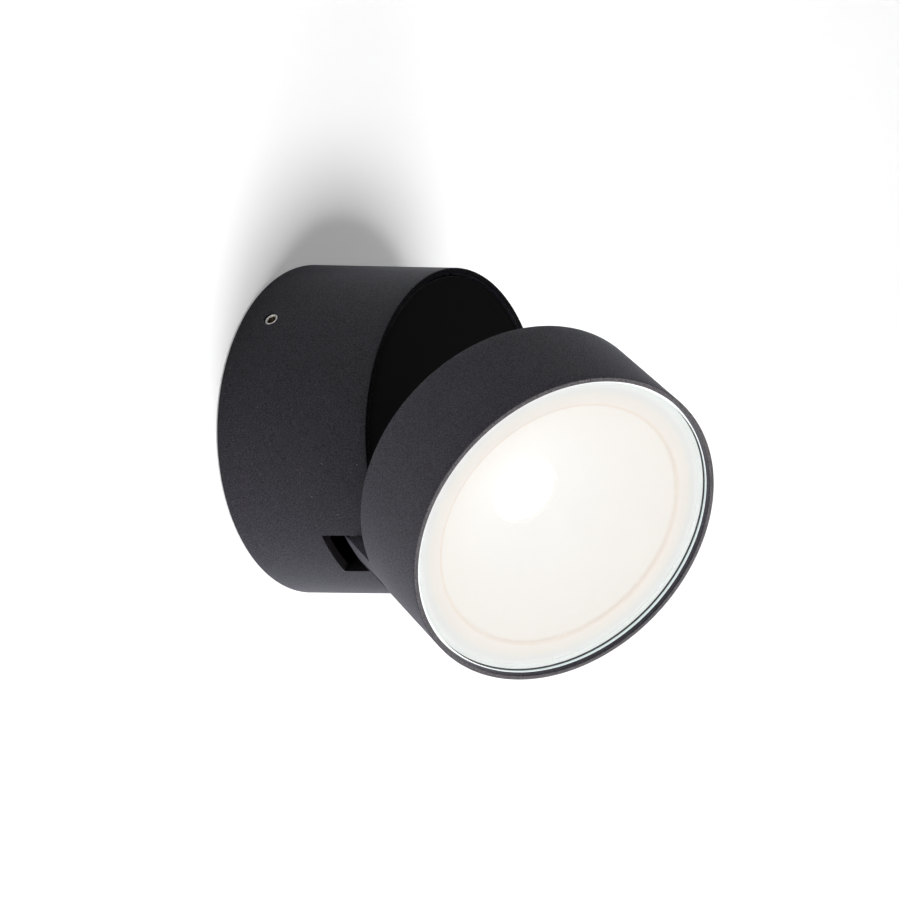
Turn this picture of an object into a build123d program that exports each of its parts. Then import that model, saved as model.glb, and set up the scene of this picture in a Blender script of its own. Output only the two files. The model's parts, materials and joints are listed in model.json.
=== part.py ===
from build123d import *
import os
from math import cos, radians, sin

# Pivoting spotlight wall light, in millimetres.
# A round drum is clamped on a wall plate, and a round lamp head is hinged in a slot in the drum's side.
#
# Row frame: the wall is the XZ plane at Y = 0 and the light stands out along -Y. +Z is up, and +X is to
# the right for someone facing the wall. The origin is the centre of the wall plate's back face.
#
# Build frame, in which every piece is drawn: x points from the drum's axis towards the hinge, y lies along
# the hinge pin and z is the distance from the wall. "Level" below means a z, and the head is drawn closed.

# Pose in which the light is shown
hinge_direction = 227.0      # degrees, counter-clockwise from +X as seen from the front
head_tilt = 36.1             # degrees that the head stands open

# Drum, an aluminium casting
drum_back_radius = 46.5
drum_taper = 1.5             # the front radius is smaller by this
drum_front_level = 48.5
wall_shadow_gap = 0.5        # between the drum's back edge and the wall
drum_bore_wall = 2.5         # round the bore that slides over the wall plate's rim
drum_bore_relief = 2.5       # the bore runs on past the plate's rim by this
drum_front_wall = 2.0
drum_rim_width = 1.7
drum_edge_round = 0.4
ledge_width = 5.0            # carries the front cover
ledge_thickness = 2.0
recess_depth = 2.2           # from the drum's front face down to the ledge

# Slot in the drum's side, for the head's tongue
slot_below_pin = 8.95

# Hinge
pin_depth = 4.0              # pin's axis below the drum's and the head's surface; also the knuckle's radius
pin_setback = 11.45          # pin's axis behind the drum's front face
pin_diameter = 2.5
pin_length = 24.0
pin_running_clearance = 0.03  # radial, pin in tongue
pin_seat_clearance = 0.02     # radial, pin in lug
tongue_width = 12.5
washer_diameter = 6.0
washer_thickness = 1.2
washer_clearance = 0.05       # between a washer and the tongue
lug_width = 6.0
lug_depth = 7.0               # from the pin's axis to the lugs' inner faces
lug_above_slot = 1.4          # the lugs start this far above the slot's bottom
retainer_thickness = 1.5
retainer_edge_gap = 0.4       # between the retainer's edges and the lugs' ends
retainer_window_border = 1.5
retainer_window_height = 10.0
retainer_window_width = 10.0
retainer_finger_length = 3.4
retainer_finger_gap = 0.3     # between a finger and the lug's side
retainer_screw_diameter = 2.5
retainer_screw_rise = 4.55    # above the pin's axis
retainer_screw_length = 6.0

# Front cover of the drum, moulded, with snap legs
cover_thickness = 1.5
cover_edge_gap = 0.5
cover_leg_count = 3
cover_leg_width = 8.0
cover_leg_thickness = 1.2
cover_hook_reach = 0.8
cover_hook_height = 1.1
cover_leg_clearance = 0.2
cover_slot_clearance = 1.0    # between the cover's slot and the knuckle

# Wall plate
plate_thickness = 3.0
plate_rim_level = 14.5
plate_rim_wall = 3.2
swivel_clearance = 0.05       # radial, plate in drum
wall_hole_spacing = 60.0
wall_hole_diameter = 4.6
wall_slot_angle = 24.0        # degrees of turn that each curved slot allows
cable_hole_diameter = 13.0

# Grub screws that clamp the drum on the plate
grub_level = 9.9
grub_diameter = 4.0
grub_sunk = 0.25             # below the drum's surface
grub_socket_diameter = 2.4
grub_socket_depth = 1.6
grub_angle_from_hinge = 89.0  # degrees, to each side of the hinge
groove_depth = 1.3
groove_width = 5.4
grub_groove_gap = 0.3         # between a grub screw's tip and the groove's floor

# Cable grommet
grommet_bore_diameter = 8.0
grommet_flange_diameter = 17.0
grommet_flange_thickness = 1.2
grommet_clearance = 0.05

# Terminal block and its screws
terminal_pitch = 9.0
terminal_count = 3
terminal_size = (28.0, 14.0, 11.0)
terminal_centre_y = -18.0
terminal_notch_wall = 1.5     # left beside a wire hole by the block's end notches
terminal_notch_depth = 1.5
terminal_slot_width = 0.5
terminal_slot_depth = 0.6
screw_end_gap = 0.3           # between a screw's end and the wall
terminal_axis_height = 5.0    # wire axis above the plate's floor
terminal_tube_diameter = 4.0
terminal_tube_bore = 2.8
terminal_tube_length = 12.0
terminal_screw_diameter = 3.0
terminal_screw_pitch = 7.0    # between the two screws of one terminal
terminal_screw_length = 4.6
terminal_screw_recess = 1.0
terminal_fixing_diameter = 2.5
earth_screw_place = (19.0, 20.0)
earth_screw_diameter = 4.0
earth_tag_thickness = 0.8
earth_tag_diameter = 9.0
earth_tag_reach = 12.0
earth_tag_blade = 4.4

# Driver and the bar that carries it
driver_end_gap = 6.5          # between the driver and the hinge retainer
driver_width = 28.0
driver_height = 18.0
driver_wall = 1.6
driver_corner_round = 2.0
driver_board_height = 5.5     # board above the lid's outside
driver_board_clearance = 1.0
board_thickness = 1.6
driver_post_size = 4.0
driver_hole_radius = 2.4
driver_boss_radius = 3.0
driver_boss_length = 5.0
driver_boss_offset = 8.0      # of each case screw from the drum's axis
transformer_size = (14.0, 15.0, 7.0)
transformer_centre_x = 12.0
transformer_flange = 1.0
transformer_inset = 1.5
capacitor_radius = 3.6
capacitor_height = 8.0
capacitor_spacing = 9.0
capacitor_centre_x = -14.0
capacitor_round = 0.5
bar_thickness = 1.5
bar_width = 14.0
bar_end_gap = 0.4             # between the bar's ends and the drum
bar_flange_height = 3.0
bar_flange_thickness = 1.2
bar_flange_gap = 3.5          # between a flange's end and the drum's pad
bar_pad_depth = 6.5           # of the drum's two pads, from its inner wall
bar_pad_width = 16.0
bar_pad_height = 6.3
bar_screw_inset = 3.6         # from the drum's inner wall

# Small pan-head screws
screw_diameter = 3.0
screw_length = 6.0
head_to_shank = 1.85          # head diameter over shank diameter
head_height_to_shank = 0.6
socket_to_shank = 0.5
thread_clearance = 0.05       # radial, screw in threaded hole
through_clearance = 0.15      # radial, screw in plain hole

# Lamp head, an aluminium casting
head_depth = 31.35           # its radius is the drum's front radius, so that it closes flush
closed_gap = 2.45             # between the drum's front and the head's back when closed
head_back_wall = 2.5
head_wall = 2.4
head_rim_width = 1.35
head_edge_round = 0.4
head_boss_radius = 17.0
head_boss_height = 1.0

# Lens and its seal
lens_recess = 1.0             # below the head's front face
lens_thickness = 3.0
lens_edge_gap = 0.35
lens_chamfer = 0.3
seal_thickness = 0.4
seal_width = 1.7
seal_lip = 0.25
seal_lip_height = 2.0

# Reflector
reflector_wall = 1.2
reflector_flange_width = 8.2  # from the lens's edge to the cone's mouth
reflector_lip_width = 1.2
reflector_lip_depth = 0.8
reflector_neck_radius = 9.6
reflector_neck_height = 2.0

# Light source
pad_thickness = 0.4
led_board_radius = 15.0
led_radius = 9.0
led_thickness = 0.9
led_screw_distance = 13.2
led_screw_diameter = 2.0
led_screw_length = 3.4
led_screw_head_radius = 1.5
led_screw_head_height = 1.2

# Two-core lead from the driver to the light source
lead_diameter = 2.0
lead_groove_width = 2.6
lead_groove_depth = 2.4
lead_inset = 2.8              # of the stretch in the tongue, inside the pin's axis
lead_bend_radius = 4.0
lead_end_gap = 1.4            # between the lead's end in the drum and the knuckle
lead_tail = 3.0               # of the lead inside the driver
lead_straight = 3.0           # from the driver's end to the lead's first bend
lead_drop = 6.5               # lead's axis below the driver's top

# Derived sizes
drum_front_radius = drum_back_radius - drum_taper
drum_bore_radius = drum_back_radius - drum_bore_wall
drum_bore_level = plate_rim_level + drum_bore_relief
drum_inner_radius = drum_front_radius - drum_front_wall
ledge_inner_radius = drum_inner_radius - ledge_width
hinge_radius = drum_front_radius - pin_depth
hinge_level = drum_front_level - pin_setback
slot_bottom_level = hinge_level - slot_below_pin
lug_inner_face = hinge_radius - lug_depth
lug_bottom_level = slot_bottom_level + lug_above_slot
retainer_screw_level = hinge_level + retainer_screw_rise
ledge_level = drum_front_level - recess_depth
ledge_bottom_level = ledge_level - ledge_thickness
recess_radius = drum_front_radius - drum_rim_width
plate_radius = drum_bore_radius - swivel_clearance
pin_radius = pin_diameter / 2
slot_width = tongue_width + 2 * (washer_thickness + washer_clearance)
lug_side = slot_width / 2
bar_pad_level = ledge_bottom_level - bar_pad_height
bar_pad_inner = drum_inner_radius - bar_pad_depth
bar_screw_distance = drum_inner_radius - bar_screw_inset
driver_top_level = bar_pad_level - bar_thickness
driver_lid_level = driver_top_level - driver_height
driver_board_level = driver_lid_level + driver_board_height
driver_length = 2 * (lug_inner_face - retainer_thickness - driver_end_gap)
lead_driver_level = driver_top_level - lead_drop
lead_axis_radius = hinge_radius - lead_inset
head_radius = drum_front_radius
head_inner_radius = head_radius - head_wall
head_back_level = drum_front_level + closed_gap
head_front_level = head_back_level + head_depth
head_floor_level = head_back_level + head_back_wall
rebate_radius = head_radius - head_rim_width
lens_top_level = head_front_level - lens_recess
lens_bottom_level = lens_top_level - lens_thickness
flange_top_level = lens_bottom_level - seal_thickness
rebate_level = flange_top_level - reflector_wall
lens_radius = rebate_radius - lens_edge_gap
reflector_mouth_radius = lens_radius - reflector_flange_width
thermal_pad_level = head_floor_level + head_boss_height
led_board_level = thermal_pad_level + pad_thickness
led_level = led_board_level + board_thickness
knuckle_inner_x = hinge_radius - pin_depth
terminal_top_level = plate_thickness + terminal_size[2]

hinge_axis = Axis((hinge_radius, 0, hinge_level), (0, 1, 0))
parts = {}


def drum_outer_radius(level):
    """Radius of the drum's tapered outside at a level."""
    rise = (level - wall_shadow_gap) / (drum_front_level - wall_shadow_gap)
    return drum_back_radius + (drum_front_radius - drum_back_radius) * rise


def rod(radius, low, high, x=0, y=0):
    """A cylinder along z."""
    return Pos(x, y, low) * Cylinder(radius, high - low, align=(Align.CENTER, Align.CENTER, Align.MIN))


def ring(outer, inner, low, high, x=0, y=0):
    return rod(outer, low, high, x, y) - rod(inner, low - 1, high + 1, x, y)


def cross_rod(radius, length, x, z, y=0):
    """A cylinder along the hinge pin's direction."""
    return Pos(x, y, z) * Rot(90, 0, 0) * Cylinder(radius, length)


def span(x_range, y_range, z_range):
    """A box between two limits on each axis."""
    sizes = [high - low for low, high in (x_range, y_range, z_range)]
    return Pos(x_range[0], y_range[0], z_range[0]) * Box(*sizes, align=(Align.MIN, Align.MIN, Align.MIN))


def turned(*edges):
    """The solid swept by a closed outline of edges in radius and level."""
    return revolve(Plane.XZ * make_face(Wire(list(edges))), Axis.Z)


def turned_polygon(points):
    return turned(*Polyline(*points, close=True).edges())


def pan_head_screw(diameter, length, x=0, y=0, seat=0.0, points_up=True):
    """A screw along z whose head sits on the level named seat. points_up turns its tip away from the wall."""
    head_height = diameter * head_height_to_shank
    socket_radius = diameter * socket_to_shank / 2
    screw = rod(diameter / 2, 0, length) + rod(diameter * head_to_shank / 2, -head_height, 0)
    screw -= Pos(0, 0, -head_height) * extrude(RegularPolygon(socket_radius, 6), head_height * 0.6)
    if not points_up:
        screw = Rot(180, 0, 0) * screw
    return Pos(x, y, seat) * screw


def keep(name, shape, body):
    """Put a piece drawn in the build frame at its place in the row frame, and remember it."""
    if body == "head":
        shape = shape.rotate(hinge_axis, head_tilt)
    turn = 0.0 if body == "root" else hinge_direction
    across = (cos(radians(turn)), 0, sin(radians(turn)))
    parts[name] = Plane(origin=(0, 0, 0), x_dir=across, z_dir=(0, -1, 0)).location * shape


# ---------------- pieces fixed to the wall ----------------

def wall_plate():
    rim_inner = plate_radius - plate_rim_wall
    low = grub_level - groove_width / 2
    high = grub_level + groove_width / 2
    plate = turned_polygon([
        (0, 0), (plate_radius, 0), (plate_radius, low),
        (plate_radius - groove_depth, low + groove_depth), (plate_radius - groove_depth, high - groove_depth),
        (plate_radius, high), (plate_radius, plate_rim_level), (rim_inner, plate_rim_level),
        (rim_inner, plate_thickness), (0, plate_thickness)])
    hole_circle = wall_hole_spacing / 2
    for side in (-1, 1):
        plate -= rod(wall_hole_diameter / 2, -1, plate_thickness + 1, side * hole_circle)
        arc = CenterArc((0, 0), hole_circle, side * 90 - wall_slot_angle / 2, wall_slot_angle)
        plate -= Pos(0, 0, -1) * extrude(SlotArc(arc, wall_hole_diameter), plate_thickness + 2)
        plate -= rod(terminal_fixing_diameter / 2 + thread_clearance, -1, plate_thickness + 1,
                     side * terminal_pitch / 2, terminal_centre_y)
    plate -= rod(cable_hole_diameter / 2, -1, plate_thickness + 1)
    plate -= rod(earth_screw_diameter / 2 + thread_clearance, -1, plate_thickness + 1, *earth_screw_place)
    return plate


def cable_grommet():
    """A rubber ring in the cable hole, with its flange on the plate's inner side."""
    body = rod(cable_hole_diameter / 2 - grommet_clearance, 0.2, plate_thickness)
    flange = rod(grommet_flange_diameter / 2, plate_thickness, plate_thickness + grommet_flange_thickness)
    flange = fillet(flange.edges().filter_by(GeomType.CIRCLE).sort_by(Axis.Z)[-1:], grommet_flange_thickness * 0.4)
    return body + flange - rod(grommet_bore_diameter / 2, -1, plate_thickness + grommet_flange_thickness + 1)


def terminal_places():
    """Centre of each terminal across the block."""
    first = -(terminal_count - 1) / 2
    return [(first + index) * terminal_pitch for index in range(terminal_count)]


def terminal_screw_places():
    return [(x, terminal_centre_y + side * terminal_screw_pitch / 2)
            for x in terminal_places() for side in (-1, 1)]


def terminal_block():
    wide, deep, tall = terminal_size
    wire_level = plate_thickness + terminal_axis_height
    block = span((-wide / 2, wide / 2), (terminal_centre_y - deep / 2, terminal_centre_y + deep / 2),
                 (plate_thickness, terminal_top_level))
    notch = terminal_pitch - terminal_tube_diameter - 2 * terminal_notch_wall
    for side in (-1, 1):
        x = side * terminal_pitch / 2
        for end in (-1, 1):
            y = terminal_centre_y + end * deep / 2
            block -= Pos(x, y, terminal_top_level) * Box(notch, 2 * terminal_notch_depth, tall)
        block -= rod(terminal_fixing_diameter / 2 + through_clearance, 0, terminal_top_level + 1, x, terminal_centre_y)
    for x in terminal_places():
        block -= cross_rod(terminal_tube_diameter / 2, deep + 2, x, wire_level, terminal_centre_y)
    for x, y in terminal_screw_places():
        block -= rod(terminal_screw_diameter / 2 + thread_clearance, wire_level, terminal_top_level + 1, x, y)
    return block


def terminal_tubes():
    wire_level = plate_thickness + terminal_axis_height
    tubes = []
    for x in terminal_places():
        tube = cross_rod(terminal_tube_diameter / 2, terminal_tube_length, x, wire_level, terminal_centre_y)
        tube -= cross_rod(terminal_tube_bore / 2, terminal_tube_length + 2, x, wire_level, terminal_centre_y)
        for side in (-1, 1):
            y = terminal_centre_y + side * terminal_screw_pitch / 2
            tube -= rod(terminal_screw_diameter / 2 + thread_clearance, wire_level, terminal_top_level, x, y)
        tubes.append(tube)
    return Compound(children=tubes)


def terminal_screws():
    top = terminal_top_level - terminal_screw_recess
    screws = []
    for x, y in terminal_screw_places():
        screw = rod(terminal_screw_diameter / 2, top - terminal_screw_length, top, x, y)
        screw -= Pos(x, y, top) * Box(2 * terminal_screw_diameter, terminal_slot_width, 2 * terminal_slot_depth)
        screws.append(screw)
    return Compound(children=screws)


def terminal_fixing_screws():
    reach = terminal_size[2] + plate_thickness - screw_end_gap
    return Compound(children=[
        pan_head_screw(terminal_fixing_diameter, reach, side * terminal_pitch / 2, terminal_centre_y,
                       terminal_top_level, points_up=False) for side in (-1, 1)])


def earth_tag():
    """A ring tag with a flat blade for the earth wire."""
    x, y = earth_screw_place
    top = plate_thickness + earth_tag_thickness
    half = earth_tag_blade / 2
    blade = span((x - earth_tag_reach, x), (y - half, y + half), (plate_thickness, top))
    tag = rod(earth_tag_diameter / 2, plate_thickness, top, x, y) + blade
    return tag - rod(earth_screw_diameter / 2 + through_clearance, 0, top + 1, x, y)


def earth_screw():
    x, y = earth_screw_place
    reach = earth_tag_thickness + plate_thickness - screw_end_gap
    return pan_head_screw(earth_screw_diameter, reach, x, y, plate_thickness + earth_tag_thickness, points_up=False)


# ---------------- drum ----------------

def in_drum(shape):
    """Only what lies within the drum's inside, and a millimetre into its wall."""
    return shape & rod(drum_inner_radius + 1.0, 0, drum_front_level)


def lug_range(side):
    return sorted((side * lug_side, side * (lug_side + lug_width)))


def retainer_screw_y(side):
    return side * (lug_side + lug_width / 2)


def grub_place(side):
    """A frame on the drum's outside at a grub screw, with its z pointing outwards."""
    angle = radians(side * grub_angle_from_hinge)
    outward = (cos(angle), sin(angle), 0)
    radius = drum_outer_radius(grub_level)
    return Plane(origin=(radius * outward[0], radius * outward[1], grub_level), x_dir=(0, 0, 1), z_dir=outward)


def drum_housing():
    shell = turned_polygon([
        (drum_bore_radius, wall_shadow_gap), (drum_back_radius, wall_shadow_gap),
        (drum_front_radius, drum_front_level), (recess_radius, drum_front_level), (recess_radius, ledge_level),
        (ledge_inner_radius, ledge_level), (ledge_inner_radius, ledge_bottom_level),
        (drum_inner_radius, ledge_bottom_level), (drum_inner_radius, drum_bore_level),
        (drum_bore_radius, drum_bore_level)])
    rims = shell.edges().filter_by(GeomType.CIRCLE)
    shell = fillet([edge for edge in rims if edge.radius > drum_front_radius - 0.01], drum_edge_round)
    for side in (-1, 1):
        lug = span((lug_inner_face, drum_outer_radius(0)), lug_range(side), (lug_bottom_level, ledge_bottom_level))
        pad = span((-bar_pad_width / 2, bar_pad_width / 2), sorted((side * bar_pad_inner, side * drum_back_radius)),
                   (bar_pad_level, ledge_bottom_level))
        shell += in_drum(lug) + in_drum(pad)
    shell -= span((0, 2 * drum_back_radius), (-slot_width / 2, slot_width / 2),
                  (slot_bottom_level, drum_front_level + 1))
    seat_radius = pin_radius + pin_seat_clearance
    seat_half_length = pin_length / 2 + 0.05
    shell -= cross_rod(seat_radius, 2 * seat_half_length, hinge_radius, hinge_level)
    shell -= span((lug_inner_face - 1, hinge_radius), (-seat_half_length, seat_half_length),
                  (hinge_level - seat_radius, hinge_level + seat_radius))
    screw_hole = retainer_screw_diameter / 2 + thread_clearance
    for side in (-1, 1):
        depth = retainer_screw_length - retainer_thickness + 0.5
        shell -= (Pos(lug_inner_face, retainer_screw_y(side), retainer_screw_level) * Rot(0, 90, 0)
                  * Cylinder(screw_hole, 2 * depth))
        shell -= rod(screw_diameter / 2 + thread_clearance, bar_pad_level - 1,
                     bar_pad_level + screw_length - bar_thickness + 0.5, 0, side * bar_screw_distance)
        shell -= grub_place(side).location * Cylinder(grub_diameter / 2 + thread_clearance, 4 * drum_bore_wall)
    return shell


def grub_screws():
    """Cone-point screws with a hexagon socket, sunk just below the drum's surface."""
    screws = []
    tip_radius = plate_radius - groove_depth + grub_groove_gap
    length = drum_outer_radius(grub_level) - grub_sunk - tip_radius
    cone = grub_diameter / 4
    for side in (-1, 1):
        body = Pos(0, 0, -grub_sunk) * Cylinder(grub_diameter / 2, length - cone,
                                           align=(Align.CENTER, Align.CENTER, Align.MAX))
        tip = Pos(0, 0, -grub_sunk - length + cone) * Cone(
            grub_diameter / 4, grub_diameter / 2, cone, align=(Align.CENTER, Align.CENTER, Align.MAX))
        socket = Pos(0, 0, -grub_sunk - grub_socket_depth) * extrude(
            RegularPolygon(grub_socket_diameter / 2, 6), grub_socket_depth + 1)
        screws.append(grub_place(side).location * (body + tip - socket))
    return Compound(children=screws)


def front_cover():
    """A moulded cover in the drum's front, held by snap legs behind the ledge."""
    radius = recess_radius - cover_edge_gap
    cover = rod(radius, ledge_level, ledge_level + cover_thickness)
    cover = fillet(cover.edges().filter_by(GeomType.CIRCLE).sort_by(Axis.Z)[-1:], 0.3)
    leg_outer = ledge_inner_radius - cover_leg_clearance
    hook_top = ledge_bottom_level - 0.05
    leg_bottom = hook_top - cover_hook_height
    half = cover_leg_width / 2
    leg = ring(leg_outer, leg_outer - cover_leg_thickness, leg_bottom, ledge_level)
    leg += ring(leg_outer + cover_hook_reach, leg_outer - cover_leg_thickness, leg_bottom, hook_top)
    leg &= span((0, drum_back_radius), (-half, half), (0, drum_front_level))
    for index in range(cover_leg_count):
        cover += Rot(0, 0, 180 + index * 360 / cover_leg_count) * leg
    slot_start = knuckle_inner_x - cover_slot_clearance
    cover -= span((slot_start, drum_back_radius), (-slot_width / 2, slot_width / 2), (0, drum_front_level + 1))
    return cover


def driver_case():
    """A moulded box, open towards the wall, with corner posts and two screw bosses."""
    half_x, half_y = driver_length / 2, driver_width / 2
    lid_top = driver_lid_level + driver_wall
    roof = driver_top_level - driver_wall
    case = span((-half_x, half_x), (-half_y, half_y), (lid_top, driver_top_level))
    case = fillet(case.edges().filter_by(Axis.Z), driver_corner_round)
    case -= span((driver_wall - half_x, half_x - driver_wall), (driver_wall - half_y, half_y - driver_wall),
                 (lid_top - 1, roof))
    board_top = driver_board_level + board_thickness
    for post_x, post_y in driver_post_places():
        case += post(post_x, post_y, board_top, driver_top_level - driver_wall / 2)
    for side in (-1, 1):
        y = side * driver_boss_offset
        case += rod(driver_boss_radius, roof - driver_boss_length, driver_top_level - driver_wall / 2, 0, y)
        case -= rod(screw_diameter / 2 + thread_clearance, roof - driver_boss_length - 1, driver_top_level + 1, 0, y)
    case -= Pos(half_x, 0, lead_driver_level) * Rot(0, 90, 0) * Cylinder(lead_diameter / 2 + 0.05, 4 * driver_wall)
    case -= Pos(-half_x, 0, lead_driver_level) * Rot(0, 90, 0) * Cylinder(driver_hole_radius, 4 * driver_wall)
    return case


def driver_post_places():
    """Centres of the posts in the case's four corners."""
    x = driver_length / 2 - driver_wall - driver_post_size / 2
    y = driver_width / 2 - driver_wall - driver_post_size / 2
    return [(sign_x * x, sign_y * y) for sign_x in (-1, 1) for sign_y in (-1, 1)]


def post(x, y, low, high):
    half = driver_post_size / 2
    return span((x - half, x + half), (y - half, y + half), (low, high))


def driver_lid():
    half_x, half_y = driver_length / 2, driver_width / 2
    lid_top = driver_lid_level + driver_wall
    lid = span((-half_x, half_x), (-half_y, half_y), (driver_lid_level, lid_top))
    lid = fillet(lid.edges().filter_by(Axis.Z), driver_corner_round)
    for post_x, post_y in driver_post_places():
        lid += post(post_x, post_y, lid_top - driver_wall / 2, driver_board_level)
    return lid


def driver_board():
    inset = driver_wall + driver_board_clearance
    half_x, half_y = driver_length / 2 - inset, driver_width / 2 - inset
    return span((-half_x, half_x), (-half_y, half_y),
                (driver_board_level, driver_board_level + board_thickness))


def driver_transformer():
    """A bobbin with its winding between two flanges, and the core round it."""
    wide, deep, tall = transformer_size
    low = driver_board_level + board_thickness
    flange = transformer_flange
    core_x, core_y = wide / 2 - transformer_inset, deep / 2 - transformer_inset
    base = Pos(transformer_centre_x, 0, 0)
    body = base * span((-wide / 2, wide / 2), (-deep / 2, deep / 2), (low, low + flange))
    body += base * span((-wide / 2, wide / 2), (-deep / 2, deep / 2), (low + tall - flange, low + tall))
    body += base * span((-core_x, core_x), (-core_y, core_y), (low + flange, low + tall - flange))
    return body


def driver_capacitors():
    low = driver_board_level + board_thickness
    cans = []
    for side in (-1, 1):
        can = rod(capacitor_radius, low, low + capacitor_height, capacitor_centre_x, side * capacitor_spacing / 2)
        cans.append(fillet(can.edges().filter_by(GeomType.CIRCLE), capacitor_round))
    return Compound(children=cans)


def driver_bar():
    """A steel bar across the drum, stiffened by two flanges towards the front."""
    low, high = driver_top_level, bar_pad_level
    half = bar_width / 2
    flange_end = bar_pad_inner - bar_flange_gap
    bar = span((-half, half), (-drum_inner_radius, drum_inner_radius), (low, high))
    for side in (-1, 1):
        edge = sorted((side * half, side * (half - bar_flange_thickness)))
        bar += span(edge, (-flange_end, flange_end), (high - bar_thickness / 2, high + bar_flange_height))
        for distance in (bar_screw_distance, driver_boss_offset):
            bar -= rod(screw_diameter / 2 + through_clearance, low - 1, high + 1, 0, side * distance)
    return bar & rod(drum_inner_radius - bar_end_gap, low, high + bar_flange_height)


def driver_bar_screws():
    return Compound(children=[
        pan_head_screw(screw_diameter, screw_length, 0, side * bar_screw_distance, driver_top_level)
        for side in (-1, 1)])


def driver_case_screws():
    return Compound(children=[
        pan_head_screw(screw_diameter, screw_length, 0, side * driver_boss_offset, bar_pad_level, points_up=False)
        for side in (-1, 1)])


# ---------------- hinge, drum side ----------------

def hinge_pin():
    pin = cross_rod(pin_radius, pin_length, hinge_radius, hinge_level)
    return chamfer(pin.edges().filter_by(GeomType.CIRCLE), 0.3)


def friction_washers():
    """One washer between each lug and the tongue."""
    washers = []
    for side in (-1, 1):
        y = side * (lug_side - washer_thickness / 2)
        washer = cross_rod(washer_diameter / 2, washer_thickness, hinge_radius, hinge_level, y)
        washers.append(washer - cross_rod(pin_radius + pin_running_clearance, washer_thickness + 1,
                                          hinge_radius, hinge_level, y))
    return Compound(children=washers)


def hinge_retainer():
    """A plate on the lugs' inner faces, with two fingers that keep the pin in its seats."""
    outer = lug_side + lug_width
    x_low = lug_inner_face - retainer_thickness
    bottom = lug_bottom_level + retainer_edge_gap
    retainer = span((x_low, lug_inner_face), (-outer, outer), (bottom, ledge_bottom_level - retainer_edge_gap))
    half = retainer_window_width / 2
    window_low = bottom + retainer_window_border
    retainer -= span((x_low - 1, lug_inner_face + 1), (-half, half), (window_low, window_low + retainer_window_height))
    finger_half_height = pin_radius - 0.05
    finger_end = hinge_radius - pin_radius - pin_seat_clearance
    for side in (-1, 1):
        near = lug_side + retainer_finger_gap
        y_range = sorted((side * near, side * (near + retainer_finger_length)))
        retainer += span((x_low, finger_end), y_range,
                         (hinge_level - finger_half_height, hinge_level + finger_half_height))
        retainer -= (Pos(x_low, retainer_screw_y(side), retainer_screw_level) * Rot(0, 90, 0)
                     * Cylinder(retainer_screw_diameter / 2 + through_clearance, 4 * retainer_thickness))
    return retainer


def hinge_retainer_screws():
    x = lug_inner_face - retainer_thickness
    return Compound(children=[
        Pos(x, retainer_screw_y(side), retainer_screw_level) * Rot(0, 90, 0)
        * pan_head_screw(retainer_screw_diameter, retainer_screw_length) for side in (-1, 1)])


def lead_along(points, bend_radius):
    path = FilletPolyline(*points, radius=bend_radius)
    profile = Plane(origin=path @ 0, z_dir=path % 0) * Circle(lead_diameter / 2)
    return sweep(profile, path=path)


def drum_lead():
    """The lead from the driver to the hinge, through the retainer's window."""
    half_x = driver_length / 2
    end_x = knuckle_inner_x - lead_end_gap
    return lead_along([(half_x - lead_tail, 0, lead_driver_level), (half_x + lead_straight, 0, lead_driver_level),
                       (end_x, 0, hinge_level)], lead_bend_radius)


# ---------------- lamp head, drawn closed ----------------

def head_housing():
    """A cup with a flat back. Its tongue carries the round side on into the drum's slot."""
    cup = turned_polygon([
        (0, head_back_level), (head_radius, head_back_level), (head_radius, head_front_level),
        (rebate_radius, head_front_level), (rebate_radius, rebate_level), (head_inner_radius, rebate_level),
        (head_inner_radius, head_floor_level), (0, head_floor_level)])
    outer = [edge for edge in cup.edges().filter_by(GeomType.CIRCLE) if edge.radius > head_radius - 0.01]
    cup = fillet(outer, head_edge_round)
    cup += rod(head_boss_radius, head_floor_level - 0.5, thermal_pad_level)
    half = tongue_width / 2
    tongue = span((knuckle_inner_x, head_radius + 1), (-half, half), (hinge_level, head_back_level + head_back_wall))
    tongue += cross_rod(pin_depth, tongue_width, hinge_radius, hinge_level)
    tongue &= rod(head_radius, 0, head_front_level)
    cup += tongue
    cup -= cross_rod(pin_radius + pin_running_clearance, tongue_width + 2, hinge_radius, hinge_level)
    groove_half = lead_groove_width / 2
    cup -= span((knuckle_inner_x - 1, knuckle_inner_x + lead_groove_depth), (-groove_half, groove_half),
                (0, head_back_level))
    lead_hole = lead_diameter / 2 + 0.1
    cup -= rod(lead_hole, head_back_level - 1, head_floor_level + 1, lead_axis_radius)
    cup -= span((lead_axis_radius - lead_bend_radius, lead_axis_radius), (-lead_hole, lead_hole),
                (head_back_level - 1, head_floor_level + 1))
    for side in (-1, 1):
        cup -= rod(led_screw_diameter / 2 + thread_clearance, led_level - led_screw_length - 0.1,
                   thermal_pad_level + 1, 0, side * led_screw_distance)
    return cup


def thermal_pad():
    pad = rod(led_board_radius, thermal_pad_level, led_board_level)
    for side in (-1, 1):
        pad -= rod(led_screw_diameter / 2 + through_clearance, 0, led_level, 0, side * led_screw_distance)
    return pad


def led_board():
    board = rod(led_board_radius, led_board_level, led_level)
    for side in (-1, 1):
        board -= rod(led_screw_diameter / 2 + through_clearance, 0, led_level + 1, 0, side * led_screw_distance)
    return board


def led_emitter():
    """The light source: a low disc with a rounded edge."""
    emitter = rod(led_radius, led_level, led_level + led_thickness)
    return fillet(emitter.edges().filter_by(GeomType.CIRCLE).sort_by(Axis.Z)[-1:], 0.3)


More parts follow.
